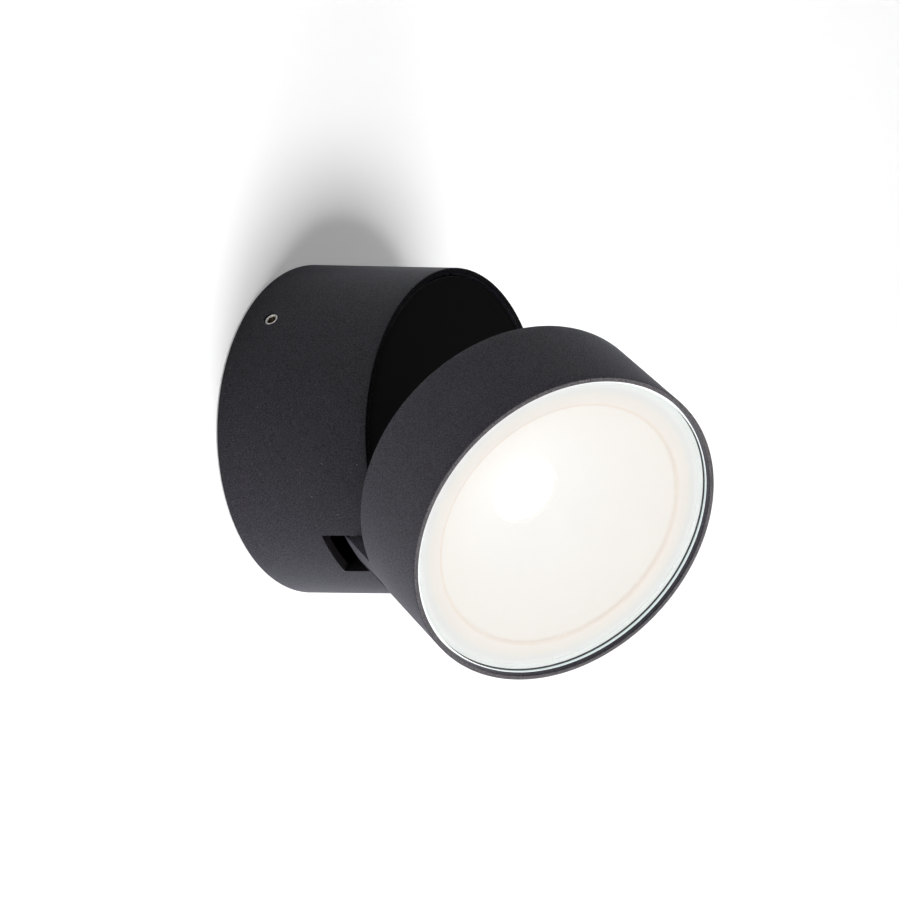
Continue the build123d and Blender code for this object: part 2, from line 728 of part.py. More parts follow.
def led_screws():
    screws = []
    for side in (-1, 1):
        y = side * led_screw_distance
        screw = rod(led_screw_diameter / 2, led_level - led_screw_length, led_level, 0, y)
        screw += rod(led_screw_head_radius, led_level, led_level + led_screw_head_height, 0, y)
        socket = extrude(RegularPolygon(led_screw_diameter / 4, 6), led_screw_head_height)
        screws.append(screw - Pos(0, y, led_level + led_screw_head_height / 2) * socket)
    return Compound(children=screws)


def reflector():
    """A shallow cone round the light source, with a rounded lip and a flange under the lens."""
    top = flange_top_level
    mouth = top - reflector_lip_depth
    neck_top = led_level + reflector_neck_height
    lip_outer = reflector_mouth_radius + reflector_lip_width
    flange_radius = rebate_radius - lens_edge_gap
    under = mouth - 1.3 * reflector_wall
    neck_outer = reflector_neck_radius + reflector_wall
    lip_middle = (lip_outer - reflector_lip_width * cos(radians(45)),
                  mouth + reflector_lip_depth * sin(radians(45)))
    corners = [(lip_outer, top), (flange_radius, top), (flange_radius, rebate_level), (lip_outer, rebate_level),
               (reflector_mouth_radius + 0.3, under), (neck_outer, neck_top - 0.6 * reflector_wall),
               (neck_outer, led_level), (reflector_neck_radius, led_level), (reflector_neck_radius, neck_top),
               (reflector_mouth_radius, mouth)]
    lip = ThreePointArc((reflector_mouth_radius, mouth), lip_middle, (lip_outer, top))
    return turned(*Polyline(*corners).edges(), lip.edge())


def lens_seal():
    """A bonded silicone ring under the lens, with a lip round its edge."""
    outer = rebate_radius - 0.05
    seal = ring(outer, lens_radius - seal_width, flange_top_level, lens_bottom_level)
    return seal + ring(outer, outer - seal_lip, flange_top_level, lens_bottom_level + seal_lip_height)


def lens_glass():
    glass = rod(lens_radius, lens_bottom_level, lens_top_level)
    return chamfer(glass.edges().filter_by(GeomType.CIRCLE), lens_chamfer)


def head_lead():
    """The lead in the tongue's groove, through the head's back and along its floor to the light source."""
    run_level = led_board_level + board_thickness / 2
    start = hinge_level - pin_depth / 4
    return lead_along([(lead_axis_radius, 0, start), (lead_axis_radius, 0, run_level),
                       (led_board_radius, 0, run_level)], lead_bend_radius)


bodies = {
    "root": (wall_plate, cable_grommet, terminal_block, terminal_tubes, terminal_screws,
             terminal_fixing_screws, earth_tag, earth_screw),
    "drum": (drum_housing, grub_screws, front_cover, driver_case, driver_lid, driver_board, driver_transformer,
             driver_capacitors, driver_bar, driver_bar_screws, driver_case_screws, hinge_pin, friction_washers,
             hinge_retainer, hinge_retainer_screws, drum_lead),
    "head": (head_housing, thermal_pad, led_board, led_emitter, led_screws, reflector, lens_seal, lens_glass,
             head_lead),
}

os.makedirs("parts", exist_ok=True)
for body, pieces in bodies.items():
    for piece in pieces:
        keep(piece.__name__, piece(), body)
for name, shape in parts.items():
    export_step(shape, f"parts/{name}.step")
print(len(parts), "parts written")
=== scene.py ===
import json
import math

import bmesh
import bpy
from mathutils import Matrix, Vector


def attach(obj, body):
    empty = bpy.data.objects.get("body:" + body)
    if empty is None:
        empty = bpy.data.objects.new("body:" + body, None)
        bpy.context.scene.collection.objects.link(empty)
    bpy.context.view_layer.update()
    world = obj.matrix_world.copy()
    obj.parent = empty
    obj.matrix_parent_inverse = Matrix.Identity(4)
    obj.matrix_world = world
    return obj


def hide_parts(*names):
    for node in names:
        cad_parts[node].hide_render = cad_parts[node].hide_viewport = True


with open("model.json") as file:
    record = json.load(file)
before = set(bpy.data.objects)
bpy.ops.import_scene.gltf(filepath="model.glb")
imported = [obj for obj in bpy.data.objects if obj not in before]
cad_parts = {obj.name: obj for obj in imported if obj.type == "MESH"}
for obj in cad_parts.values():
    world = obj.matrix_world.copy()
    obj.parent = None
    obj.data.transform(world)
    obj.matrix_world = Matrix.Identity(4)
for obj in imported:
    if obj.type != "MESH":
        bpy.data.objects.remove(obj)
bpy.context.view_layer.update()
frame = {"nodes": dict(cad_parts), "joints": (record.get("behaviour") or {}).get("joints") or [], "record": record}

scene = bpy.context.scene
solids = frame["nodes"]
perMetre = 1000     # pieces are drawn in millimetres, and the scene is in metres
past = 1.0          # how far a cutter reaches past what it cuts
lap = 0.01          # a hair's breadth, by which cutters overlap and bands of finish stop short
sharpAngle = 38     # an edge that bends by more degrees than this stays sharp
roundSteps = 256    # steps round a housing
holeSteps = 48      # round a hole
smallSteps = 24     # and round a small screw's hole
print("frame loaded:", len(solids), "solids")

# each piece is drawn round the drum's axis: x towards the hinge, y along its pin, z away from the wall
tiltJoint = next(joint for joint in frame["joints"] if joint["name"] == "head_tilt")
pinSpot = Vector(tiltJoint["pos_m"])
hinge = {"radius": perMetre * math.hypot(pinSpot.x, pinSpot.z), "level": -perMetre * pinSpot.y,
         "openBy": -tiltJoint["range_deg"][0]}
towardsHinge = Vector((pinSpot.x, 0, pinSpot.z)).normalized()
alongPin = Vector(tiltJoint["axis"])
outOfWall = Vector((0, -1, 0))
drumTurn = Matrix((towardsHinge, alongPin, outOfWall)).transposed().to_4x4()
drumPlace = drumTurn @ Matrix.Scale(1 / perMetre, 4)
toPin = Matrix.Translation((hinge["radius"], 0, hinge["level"]))
headTurn = Matrix.Rotation(math.radians(hinge["openBy"]), 4, "Y")
headPlace = drumPlace @ toPin @ headTurn @ toPin.inverted()    # the head is drawn closed and opened on its pin


def addNode(tree, kind, inputs=(), **settings):
    # inputs maps a socket's name or number to a value or to another node's output
    node = tree.nodes.new(kind)
    for key, value in settings.items():
        setattr(node, key, value)
    for key, value in dict(inputs).items():
        if isinstance(value, bpy.types.NodeSocket):
            tree.links.new(value, node.inputs[key])
        else:
            node.inputs[key].default_value = value
    return node


mixA, mixB, mixed = 6, 7, 2    # the colour sockets of a Mix node, whose other sockets have the same names


def hexColour(code):
    # sRGB hex to the linear colour that the shaders work in
    shares = [int(code[i:i + 2], 16) / 255 for i in (1, 3, 5)]
    return [s / 12.92 if s <= 0.04045 else ((s + 0.055) / 1.055) ** 2.4 for s in shares] + [1.0]


def newMaterial(name, **values):
    # a material with one Principled shader, whose even values are set on its own sockets
    material = bpy.data.materials.new(name)
    material.use_nodes = True
    tree = material.node_tree
    tree.nodes.clear()
    shader = addNode(tree, "ShaderNodeBsdfPrincipled", {
        key.replace("_", " "): value for key, value in values.items()})
    addNode(tree, "ShaderNodeOutputMaterial", {"Surface": shader.outputs[0]})
    return material, tree, shader


def grainSize(millimetres):
    # noise scale whose blobs are about this wide, on Object coordinates in metres
    return perMetre / millimetres


plainSkin = {"stretch": (1, 1, 1), "spread": (0.3, 0.75), "patchy": 0.25}    # for a look that says nothing else


def speckled(name, chosen, **values):
    # fine grain over a slow drift of tone, for coats, castings and mouldings
    look = dict(plainSkin, **chosen)
    material, tree, shader = newMaterial(name, **values)
    place = addNode(tree, "ShaderNodeTexCoord").outputs["Object"]
    stretched = addNode(tree, "ShaderNodeMapping", {"Vector": place, "Scale": look["stretch"]})
    grain = addNode(tree, "ShaderNodeTexNoise", {
        "Vector": stretched.outputs[0], "Scale": grainSize(look["grainMm"]), "Detail": 3.0, "Roughness": 0.6})
    tone = addNode(tree, "ShaderNodeValToRGB", {"Fac": grain.outputs["Fac"]})
    for stop, position, key in zip(tone.color_ramp.elements, look["spread"], ("dark", "light")):
        stop.position, stop.color = position, hexColour(look[key])
    drift = addNode(tree, "ShaderNodeTexNoise", {
        "Vector": place, "Scale": grainSize(look["driftMm"]), "Detail": 2.0})
    cloud = addNode(tree, "ShaderNodeMapRange", {
        "Value": drift.outputs["Fac"], "From Min": 0.3, "From Max": 0.7, "To Max": look["patchy"]})
    shade = addNode(tree, "ShaderNodeMix", {
        "Factor": cloud.outputs[0], mixA: tone.outputs[0], mixB: hexColour(look["patch"])}, data_type="RGBA")
    if "speck" in look:    # scattered pin points
        dust = addNode(tree, "ShaderNodeTexNoise", {
            "Vector": place, "Scale": grainSize(look["speckMm"]), "Detail": 0.0})
        share = addNode(tree, "ShaderNodeMapRange", {
            "Value": dust.outputs["Fac"], "From Min": look["speckFrom"], "From Max": look["speckTo"]})
        shade = addNode(tree, "ShaderNodeMix", {
            "Factor": share.outputs[0], mixA: shade.outputs[mixed], mixB: hexColour(look["speck"])},
            data_type="RGBA")
    tree.links.new(shade.outputs[mixed], shader.inputs["Base Color"])
    # the grain's crests are rougher than its hollows and catch more light
    for key, socket, lowest in (("roughness", "Roughness", 0.25), ("sheen", "Sheen Weight", 0.35),
                                ("gloss", "Specular IOR Level", 0.35)):
        if key in look:
            crest = addNode(tree, "ShaderNodeMapRange", {
                "Value": grain.outputs["Fac"], "From Min": lowest, "From Max": 1 - lowest,
                "To Min": look[key][0], "To Max": look[key][1]})
            tree.links.new(crest.outputs[0], shader.inputs[socket])
    relief = addNode(tree, "ShaderNodeBump", {
        "Strength": look["relief"], "Distance": look["reliefMm"] / perMetre, "Height": grain.outputs["Fac"]})
    if "peelMm" in look:    # the slower waves that a sprayed or cast skin has, a fifth as deep as they are wide
        peel = addNode(tree, "ShaderNodeTexNoise", {
            "Vector": place, "Scale": grainSize(look["peelMm"]), "Detail": 1.0})
        relief = addNode(tree, "ShaderNodeBump", {
            "Strength": look["peel"], "Distance": look["peelMm"] / 5 / perMetre, "Height": peel.outputs["Fac"],
            "Normal": relief.outputs[0]})
    tree.links.new(relief.outputs[0], shader.inputs["Normal"])
    return material


# Real grain is finer than 0.1 mm on most of these skins, and 0.15 mm wide on the powder coat. That is too fine
# to show, so it is drawn 0.15 to 0.5 mm wide, and the coat's 0.32 mm wide.

# polyester powder coat with a fine sand texture: matt, with pin-point speckles and a soft orange peel
graphiteCoat = {"dark": "#1a191d", "light": "#343238", "patch": "#27262a", "grainMm": 0.32, "driftMm": 14,
                "spread": (0.34, 0.66), "patchy": 0.15, "relief": 0.45, "reliefMm": 0.06,
                "peelMm": 1.3, "peel": 0.12, "roughness": (0.46, 0.6), "sheen": (0.05, 0.18),
                "gloss": (0.07, 0.17), "speck": "#6a686f", "speckMm": 0.6, "speckFrom": 0.86, "speckTo": 0.91}
# the same coat on the head, as a lit copy: painted light, its base a shade lighter than the drum's
headLitCoat = dict(graphiteCoat, dark="#28272c", light="#4b4950", patch="#39383e",
                sheen=(0.02, 0.11), gloss=(0.04, 0.12))
# and on the head's rim, lighter still: a painted highlight, where the rim face catches light seen edge on
rimHighlightCoat = dict(graphiteCoat, dark="#322f32", light="#676466", patch="#4a474a",
               sheen=(0.0, 0.06), gloss=(0.04, 0.1))
# and on the drum's front rim, which lies in the head's shade
shadedCoat = dict(graphiteCoat, dark="#141316", light="#232227", patch="#1b1a1e",
                  sheen=(0.0, 0.03), gloss=(0.0, 0.03))
# painted shade inside the slot and in the mouths of the grub holes: the coat drawn darker there
recessShadeCoat = dict(graphiteCoat, dark="#131114", light="#232024", patch="#1a181b",
                sheen=(0.0, 0.02), gloss=(0.0, 0.04))
coolSheen = hexColour("#e0e3ff")    # the coat's grit scatters a faintly blue light
# moulded ABS with a spark-eroded skin: nearly black, a faint even sheen
blackAbs = {"dark": "#070607", "light": "#0e0c0d", "patch": "#0a090a", "grainMm": 0.25, "driftMm": 20,
            "roughness": (0.42, 0.55), "relief": 0.25, "reliefMm": 0.03}
# the same plastic on the cover's rounded edge, lighter: a painted highlight where the edge catches the light
coverEdgeHighlight = dict(blackAbs, dark="#252428", light="#37363b", patch="#2d2c30")
# die-cast aluminium under a thin matt black primer, drawn this dark as painted shade so the plate stays dark
# where it shows through the slot: the casting's flow marks show through the primer
shadeBlackPrimer = {"dark": "#101011", "light": "#1f1f21", "patch": "#171718", "grainMm": 0.5, "driftMm": 9,
               "patchy": 0.6, "roughness": (0.55, 0.72), "relief": 0.3, "reliefMm": 0.08,
               "peelMm": 2.5, "peel": 0.15}
# bright zinc plate on pressed steel: cool, faintly clouded
zincPlate = {"dark": "#9ea1a6", "light": "#c3c6ca", "patch": "#aab0b8", "grainMm": 0.3, "driftMm": 4,
             "patchy": 0.7, "roughness": (0.25, 0.42), "relief": 0.12, "reliefMm": 0.02}
# black zinc plate on pressed steel: passivated nearly black, faintly clouded
blackPlate = dict(zincPlate, dark="#0b0b0c", light="#19191b", patch="#101012", roughness=(0.4, 0.55))
# turned stainless steel: the fine grain left by the tool
turnedStainless = {"dark": "#c6c4c0", "light": "#efede9", "patch": "#dad8d3", "grainMm": 0.2, "driftMm": 3,
                   "roughness": (0.22, 0.4), "relief": 0.2, "reliefMm": 0.02}
# the broached socket of a set screw: torn metal, its hollow darkened brown by painted shade
socketShadeSteel = {"dark": "#4a4034", "light": "#9a8a70", "patch": "#6e604c", "grainMm": 0.15, "driftMm": 1,
                 "roughness": (0.45, 0.7), "relief": 0.3, "reliefMm": 0.02}
# extruded brass, a little dulled
plainBrass = {"dark": "#a58a45", "light": "#cdb268", "patch": "#9b7f45", "grainMm": 0.3, "driftMm": 3,
              "patchy": 0.5, "roughness": (0.28, 0.45), "relief": 0.12, "reliefMm": 0.02}
# vulcanised rubber: dull, with a dusting of talc
blackRubber = {"dark": "#141414", "light": "#232323", "patch": "#1f1f20", "grainMm": 0.3, "driftMm": 5,
               "roughness": (0.7, 0.85), "relief": 0.35, "reliefMm": 0.04}
# injection-moulded polyamide: off-white with a slight waxy depth
whiteNylon = {"dark": "#d3d2cc", "light": "#e2e1db", "patch": "#dad8d0", "grainMm": 0.35, "driftMm": 12,
              "roughness": (0.4, 0.52), "relief": 0.12, "reliefMm": 0.03}
# gap-filling gum on glass cloth: grey and gritty
thermalGum = {"dark": "#83878d", "light": "#9ea2a8", "patch": "#8b8f96", "grainMm": 0.3, "driftMm": 6,
              "roughness": (0.7, 0.8), "relief": 0.4, "reliefMm": 0.05}
# heat-shrunk PVC sleeve: dark blue, drawn tight and glossy
capacitorSleeve = {"dark": "#12182e", "light": "#1b2440", "patch": "#161d36", "grainMm": 0.4, "driftMm": 5,
                   "roughness": (0.18, 0.28), "relief": 0.08, "reliefMm": 0.02}
# extruded silicone sheath: satin off-white, with its grain drawn out by the die
leadSheath = {"dark": "#cbc9c3", "light": "#dddbd5", "patch": "#d2d0c9", "grainMm": 0.3, "driftMm": 6,
              "roughness": (0.35, 0.48), "relief": 0.12, "reliefMm": 0.02, "stretch": (1, 1, 0.3)}

finishes = {
    "graphite_powder_coat": speckled("finePowderCoat", graphiteCoat, Sheen_Tint=coolSheen),
    # the head's lit copy of the coat, with painted light
    "head_lit_coat": speckled("headLitPowderCoat", headLitCoat, Sheen_Tint=coolSheen),
    "rim_highlight_coat": speckled("rimHighlightPowderCoat", rimHighlightCoat),
    "shaded_coat": speckled("shadedPowderCoat", shadedCoat),
    "recess_shade_coat": speckled("recessShadePowderCoat", recessShadeCoat),
    "black_plastic": speckled("mouldedBlackAbs", blackAbs, Specular_IOR_Level=0.03),
    "cover_edge_highlight": speckled("highlitAbsEdge", coverEdgeHighlight, Specular_IOR_Level=0.2),
    "black_primed_aluminium": speckled("shadeBlackPrimedAluminium", shadeBlackPrimer, Specular_IOR_Level=0.3),
    "black_steel": speckled("blackZincPlate", blackPlate, Metallic=1.0),
    "zinc_plated_steel": speckled("zincPlatedSteel", zincPlate, Metallic=1.0),
    "stainless_steel": speckled("turnedStainlessSteel", turnedStainless, Metallic=1.0),
    "socket_shade": speckled("shadedSocketSteel", socketShadeSteel, Metallic=1.0),
    "brass": speckled("extrudedBrass", plainBrass, Metallic=1.0),
    "black_rubber": speckled("vulcanisedRubber", blackRubber),
    "white_nylon": speckled("mouldedNylon", whiteNylon, IOR=1.53),
    "thermal_gum": speckled("thermalGum", thermalGum),
    "capacitor_sleeve": speckled("shrunkPvcSleeve", capacitorSleeve, IOR=1.53),
    "lead_sheath": speckled("siliconeSheath", leadSheath, IOR=1.41),
}


lampCentre = headPlace @ Vector((0, 0, 56.5))    # on the head's axis, at the foot of the light source
lampAxis = (headPlace.to_3x3() @ Vector((0, 0, 1))).normalized()
rampReach = 45    # millimetres from the head's axis to the far end of the colour ramp
lampGrain = {"grainMm": 0.6, "darkest": 0.985, "relief": 0.05, "reliefMm": 0.05}    # faint, on all lit pieces


def litByLamp(name, look, **values):
    # a piece inside the lamp, with the source's light painted on as a glow; its tones go by the distance from the
    # head's axis, in millimetres, and the first two tones are the ends of the ramp
    material, tree, shader = newMaterial(name, Emission_Strength=look["glow"], **values)
    place = addNode(tree, "ShaderNodeTexCoord").outputs["Object"]
    fromCentre = addNode(tree, "ShaderNodeVectorMath", {0: place, 1: lampCentre}, operation="SUBTRACT")
    offAxis = addNode(tree, "ShaderNodeVectorMath", {0: fromCentre.outputs[0], 1: lampAxis},
                      operation="CROSS_PRODUCT")
    radius = addNode(tree, "ShaderNodeVectorMath", {0: offAxis.outputs[0]}, operation="LENGTH")
    share = addNode(tree, "ShaderNodeMath", {0: radius.outputs["Value"], 1: perMetre / rampReach},
                    operation="MULTIPLY")
    tone = addNode(tree, "ShaderNodeValToRGB", {"Fac": share.outputs[0]})
    stops = tone.color_ramp.elements
    for i, (millimetres, code) in enumerate(look["tones"]):
        stop = stops[i] if i < 2 else stops.new(millimetres / rampReach)
        stop.position, stop.color = millimetres / rampReach, hexColour(code)
    grain = addNode(tree, "ShaderNodeTexNoise", {
        "Vector": place, "Scale": grainSize(lampGrain["grainMm"]), "Detail": 2.0})
    speck = addNode(tree, "ShaderNodeMapRange", {
        "Value": grain.outputs["Fac"], "To Min": lampGrain["darkest"], "To Max": 1.0})
    shade = addNode(tree, "ShaderNodeMix", {"Factor": 1.0, mixA: tone.outputs[0], mixB: speck.outputs[0]},
                    data_type="RGBA", blend_type="MULTIPLY")
    base = addNode(tree, "ShaderNodeMix", {
        "Factor": 1.0, mixA: shade.outputs[mixed], mixB: hexColour(look["body"])},
        data_type="RGBA", blend_type="MULTIPLY")
    relief = addNode(tree, "ShaderNodeBump", {
        "Strength": lampGrain["relief"], "Distance": lampGrain["reliefMm"] / perMetre,
        "Height": grain.outputs["Fac"]})
    tree.links.new(base.outputs[mixed], shader.inputs["Base Color"])
    tree.links.new(shade.outputs[mixed], shader.inputs["Emission Color"])
    tree.links.new(relief.outputs[0], shader.inputs["Normal"])
    return material


# moulded PBT, matt white, with the lamp's light painted on as glow: warm in the bowl, a painted shade of beige
# at the step round its mouth, cooler on the flange under the lens's edge
whitePbt = {"glow": 0.79, "body": "#707070", "tones": (
    (0, "#fefdfb"), (45, "#f4f7f6"), (9.6, "#fcfaf7"), (22, "#faf7f2"), (34.6, "#f7f2ec"), (35.1, "#f2eae0"),
    (35.7, "#f1e7dc"), (36.2, "#f3ede6"), (38.6, "#efebe4"), (39.8, "#e9e9e6"), (40.8, "#eaebe9"),
    (41.2, "#edeeec"), (43.0, "#e9ebe9"))}
# white solder mask on an aluminium board, with the lamp's light painted on as glow
solderMask = {"glow": 0.75, "body": "#8a8a8a", "tones": ((0, "#ffffff"), (20, "#fbf8f2"))}
# silicone over phosphor on one large chip array, lit
phosphor = {"glow": 1.6, "body": "#8a8a8a", "tones": ((0, "#ffffff"), (9, "#fffdf8"))}
# clear silicone, with the lamp's light painted on as glow, and a painted highlight whitest at the lip
sealSilicone = {"glow": 0.66, "body": "#8e9292", "tones": (
    (0, "#f4f6f5"), (45, "#ffffff"), (42.6, "#eef0ee"), (43.0, "#e9ecea"), (43.35, "#ffffff"))}
# the lens's ground edge, with the lamp's light from within painted on as a cool white glow
groundEdge = {"glow": 0.78, "body": "#a0a6a6", "tones": ((0, "#d5e2e2"), (45, "#d5e2e2"))}
# the lens's two bevels: painted shade on the lower one, which turns the light away and looks black, and a
# painted highlight on the upper one, which gathers it
darkBevel = {"glow": 0.02, "body": "#101416", "tones": ((0, "#15191b"), (45, "#15191b"))}
lightBevel = {"glow": 1.0, "body": "#a0a6a6", "tones": ((0, "#ffffff"), (45, "#ffffff"))}
finishes.update({
    "white_reflector": litByLamp("mattWhitePbt", whitePbt, IOR=1.5, Roughness=0.6),
    "white_board": litByLamp("whiteSolderMask", solderMask, IOR=1.5, Roughness=0.45),
    "led_phosphor": litByLamp("litPhosphor", phosphor, IOR=1.41, Roughness=0.3),
    "ground_edge": litByLamp("groundLensEdge", groundEdge, IOR=1.52, Roughness=0.5),
    "dark_bevel": litByLamp("darkLensBevel", darkBevel, IOR=1.52, Roughness=0.4),
    "light_bevel": litByLamp("lightLensBevel", lightBevel, IOR=1.52, Roughness=0.3),
    "clear_silicone": litByLamp("clearSilicone", sealSilicone, IOR=1.41, Roughness=0.35,
                                Transmission_Weight=0.25),
})


# toughened soda-lime glass, polished: clear, with slow waves of gloss across its faces
clearGlass = {"colour": "#ffffff", "waveMm": 18, "roughest": 0.012}


def lensGlassFinish():
    material, tree, shader = newMaterial("polishedLensGlass", IOR=1.52, Transmission_Weight=1.0,
                                         Base_Color=hexColour(clearGlass["colour"]))
    place = addNode(tree, "ShaderNodeTexCoord").outputs["Object"]
    waves = addNode(tree, "ShaderNodeTexNoise", {
        "Vector": place, "Scale": grainSize(clearGlass["waveMm"]), "Detail": 1.0})
    film = addNode(tree, "ShaderNodeMapRange", {
        "Value": waves.outputs["Fac"], "To Min": 0.0, "To Max": clearGlass["roughest"]})
    tree.links.new(film.outputs[0], shader.inputs["Roughness"])
    return material


# green solder mask, silk-screened: glossy, with the copper's tracks showing through it in rows
greenMask = {"tones": ("#1c5a33", "#17502c"), "tracks": "#2f7a49", "rowMm": 0.9615, "trackShare": 0.06,
             "grainMm": 0.4, "roughness": (0.25, 0.45), "relief": 0.3, "reliefMm": 0.04}
brickRow = 0.25    # the height of a row in a Brick texture at scale 1


def circuitBoardFinish():
    look = greenMask
    material, tree, shader = newMaterial("greenSolderMask", IOR=1.5, Coat_Weight=0.4)
    place = addNode(tree, "ShaderNodeTexCoord").outputs["Object"]
    tracks = addNode(tree, "ShaderNodeTexBrick", {
        "Vector": place, "Color1": hexColour(look["tones"][0]), "Color2": hexColour(look["tones"][1]),
        "Mortar": hexColour(look["tracks"]), "Scale": brickRow * grainSize(look["rowMm"]),
        "Mortar Size": look["trackShare"]})
    grain = addNode(tree, "ShaderNodeTexNoise", {"Vector": place, "Scale": grainSize(look["grainMm"])})
    rough = addNode(tree, "ShaderNodeMapRange", {
        "Value": grain.outputs["Fac"], "To Min": look["roughness"][0], "To Max": look["roughness"][1]})
    relief = addNode(tree, "ShaderNodeBump", {
        "Strength": look["relief"], "Distance": look["reliefMm"] / perMetre, "Height": tracks.outputs["Fac"]})
    tree.links.new(tracks.outputs["Color"], shader.inputs["Base Color"])
    tree.links.new(rough.outputs[0], shader.inputs["Roughness"])
    tree.links.new(relief.outputs[0], shader.inputs["Normal"])
    return material


# yellow polyester tape, wound on: glossy turns 3 mm apart, each with its edge over the last
yellowTape = {"lower": "#c9a63c", "upper": "#ddc160", "turnMm": 3.0, "wander": 0.3, "roughness": (0.25, 0.4),
              "relief": 0.4, "reliefMm": 0.06}
wavePerUnit = 20 / math.tau    # bands to a unit of length in a Wave texture at scale 1


def woundTapeFinish():
    look = yellowTape
    material, tree, shader = newMaterial("woundPolyesterTape", IOR=1.6, Coat_Weight=0.3)
    place = addNode(tree, "ShaderNodeTexCoord").outputs["Object"]
    turns = addNode(tree, "ShaderNodeTexWave", {
        "Vector": place, "Scale": grainSize(look["turnMm"]) / wavePerUnit, "Distortion": look["wander"]},
        bands_direction="Y", wave_profile="SAW").outputs["Fac"]
    tone = addNode(tree, "ShaderNodeMix", {
        "Factor": turns, mixA: hexColour(look["lower"]), mixB: hexColour(look["upper"])}, data_type="RGBA")
    rough = addNode(tree, "ShaderNodeMapRange", {
        "Value": turns, "To Min": look["roughness"][0], "To Max": look["roughness"][1]})
    relief = addNode(tree, "ShaderNodeBump", {
        "Strength": look["relief"], "Distance": look["reliefMm"] / perMetre, "Height": turns})
    tree.links.new(tone.outputs[mixed], shader.inputs["Base Color"])
    tree.links.new(rough.outputs[0], shader.inputs["Roughness"])
    tree.links.new(relief.outputs[0], shader.inputs["Normal"])
    return material


finishes["lens_glass"] = lensGlassFinish()
finishes["circuit_board"] = circuitBoardFinish()
finishes["transformer_tape"] = woundTapeFinish()

for part in frame["record"]["subparts"]:
    solid = solids[part["node"]]
    if not solid.material_slots:
        solid.data.materials.append(None)
    for materialSlot in solid.material_slots:
        materialSlot.material = finishes[part["material_slot"]]
print("finishes given:", len(finishes))


def roundedOutline(corners, closed, longest=3.0, arcSteps=6):
    # corners are (radius, level, rounding); a rounding becomes an arc of short steps, and a long run is cut up
    points = []
    for i, (x, z, rounding) in enumerate(corners):
        here = Vector((x, z))
        if not rounding:
            points.append(here)
            continue
        back = (Vector(corners[i - 1][:2]) - here).normalized()
        ahead = (Vector(corners[(i + 1) % len(corners)][:2]) - here).normalized()
        half = back.angle(ahead) / 2
        reach = rounding / math.tan(half)
        middle = here + (back + ahead).normalized() * rounding / math.sin(half)
        start, end = here + back * reach - middle, here + ahead * reach - middle
        sweep = start.angle_signed(end)
        for k in range(arcSteps + 1):
            turn = -sweep * k / arcSteps
            points.append(middle + Vector((start.x * math.cos(turn) - start.y * math.sin(turn),
                                           start.x * math.sin(turn) + start.y * math.cos(turn))))
    if closed:
        points.append(points[0])
    stepped = [points[0]]
    for before, after in zip(points, points[1:]):
        pieces = max(1, math.ceil((after - before).length / longest))
        stepped += [before.lerp(after, k / pieces) for k in range(1, pieces + 1)]
    return stepped


def startTree(name, inputs, result):
    # a Geometry Nodes tree with named inputs, and the identifiers by which a modifier sets them
    tree = bpy.data.node_groups.new(name, "GeometryNodeTree")
    identifiers = {}
    for title, kind in inputs.items():
        socket = tree.interface.new_socket(title, in_out="INPUT", socket_type="NodeSocket" + kind)
        identifiers[title] = socket.identifier
    tree.interface.new_socket(result, in_out="OUTPUT", socket_type="NodeSocketGeometry")
    return tree, identifiers, addNode(tree, "NodeGroupInput").outputs


def endTree(tree, shape, finish):
    # every tree ends in real faces that carry their finish
    real = addNode(tree, "GeometryNodeRealizeInstances", {0: shape})
    painted = addNode(tree, "GeometryNodeSetMaterial", {"Geometry": real.outputs[0], "Material": finish})
    addNode(tree, "NodeGroupOutput", {0: painted.outputs[0]})


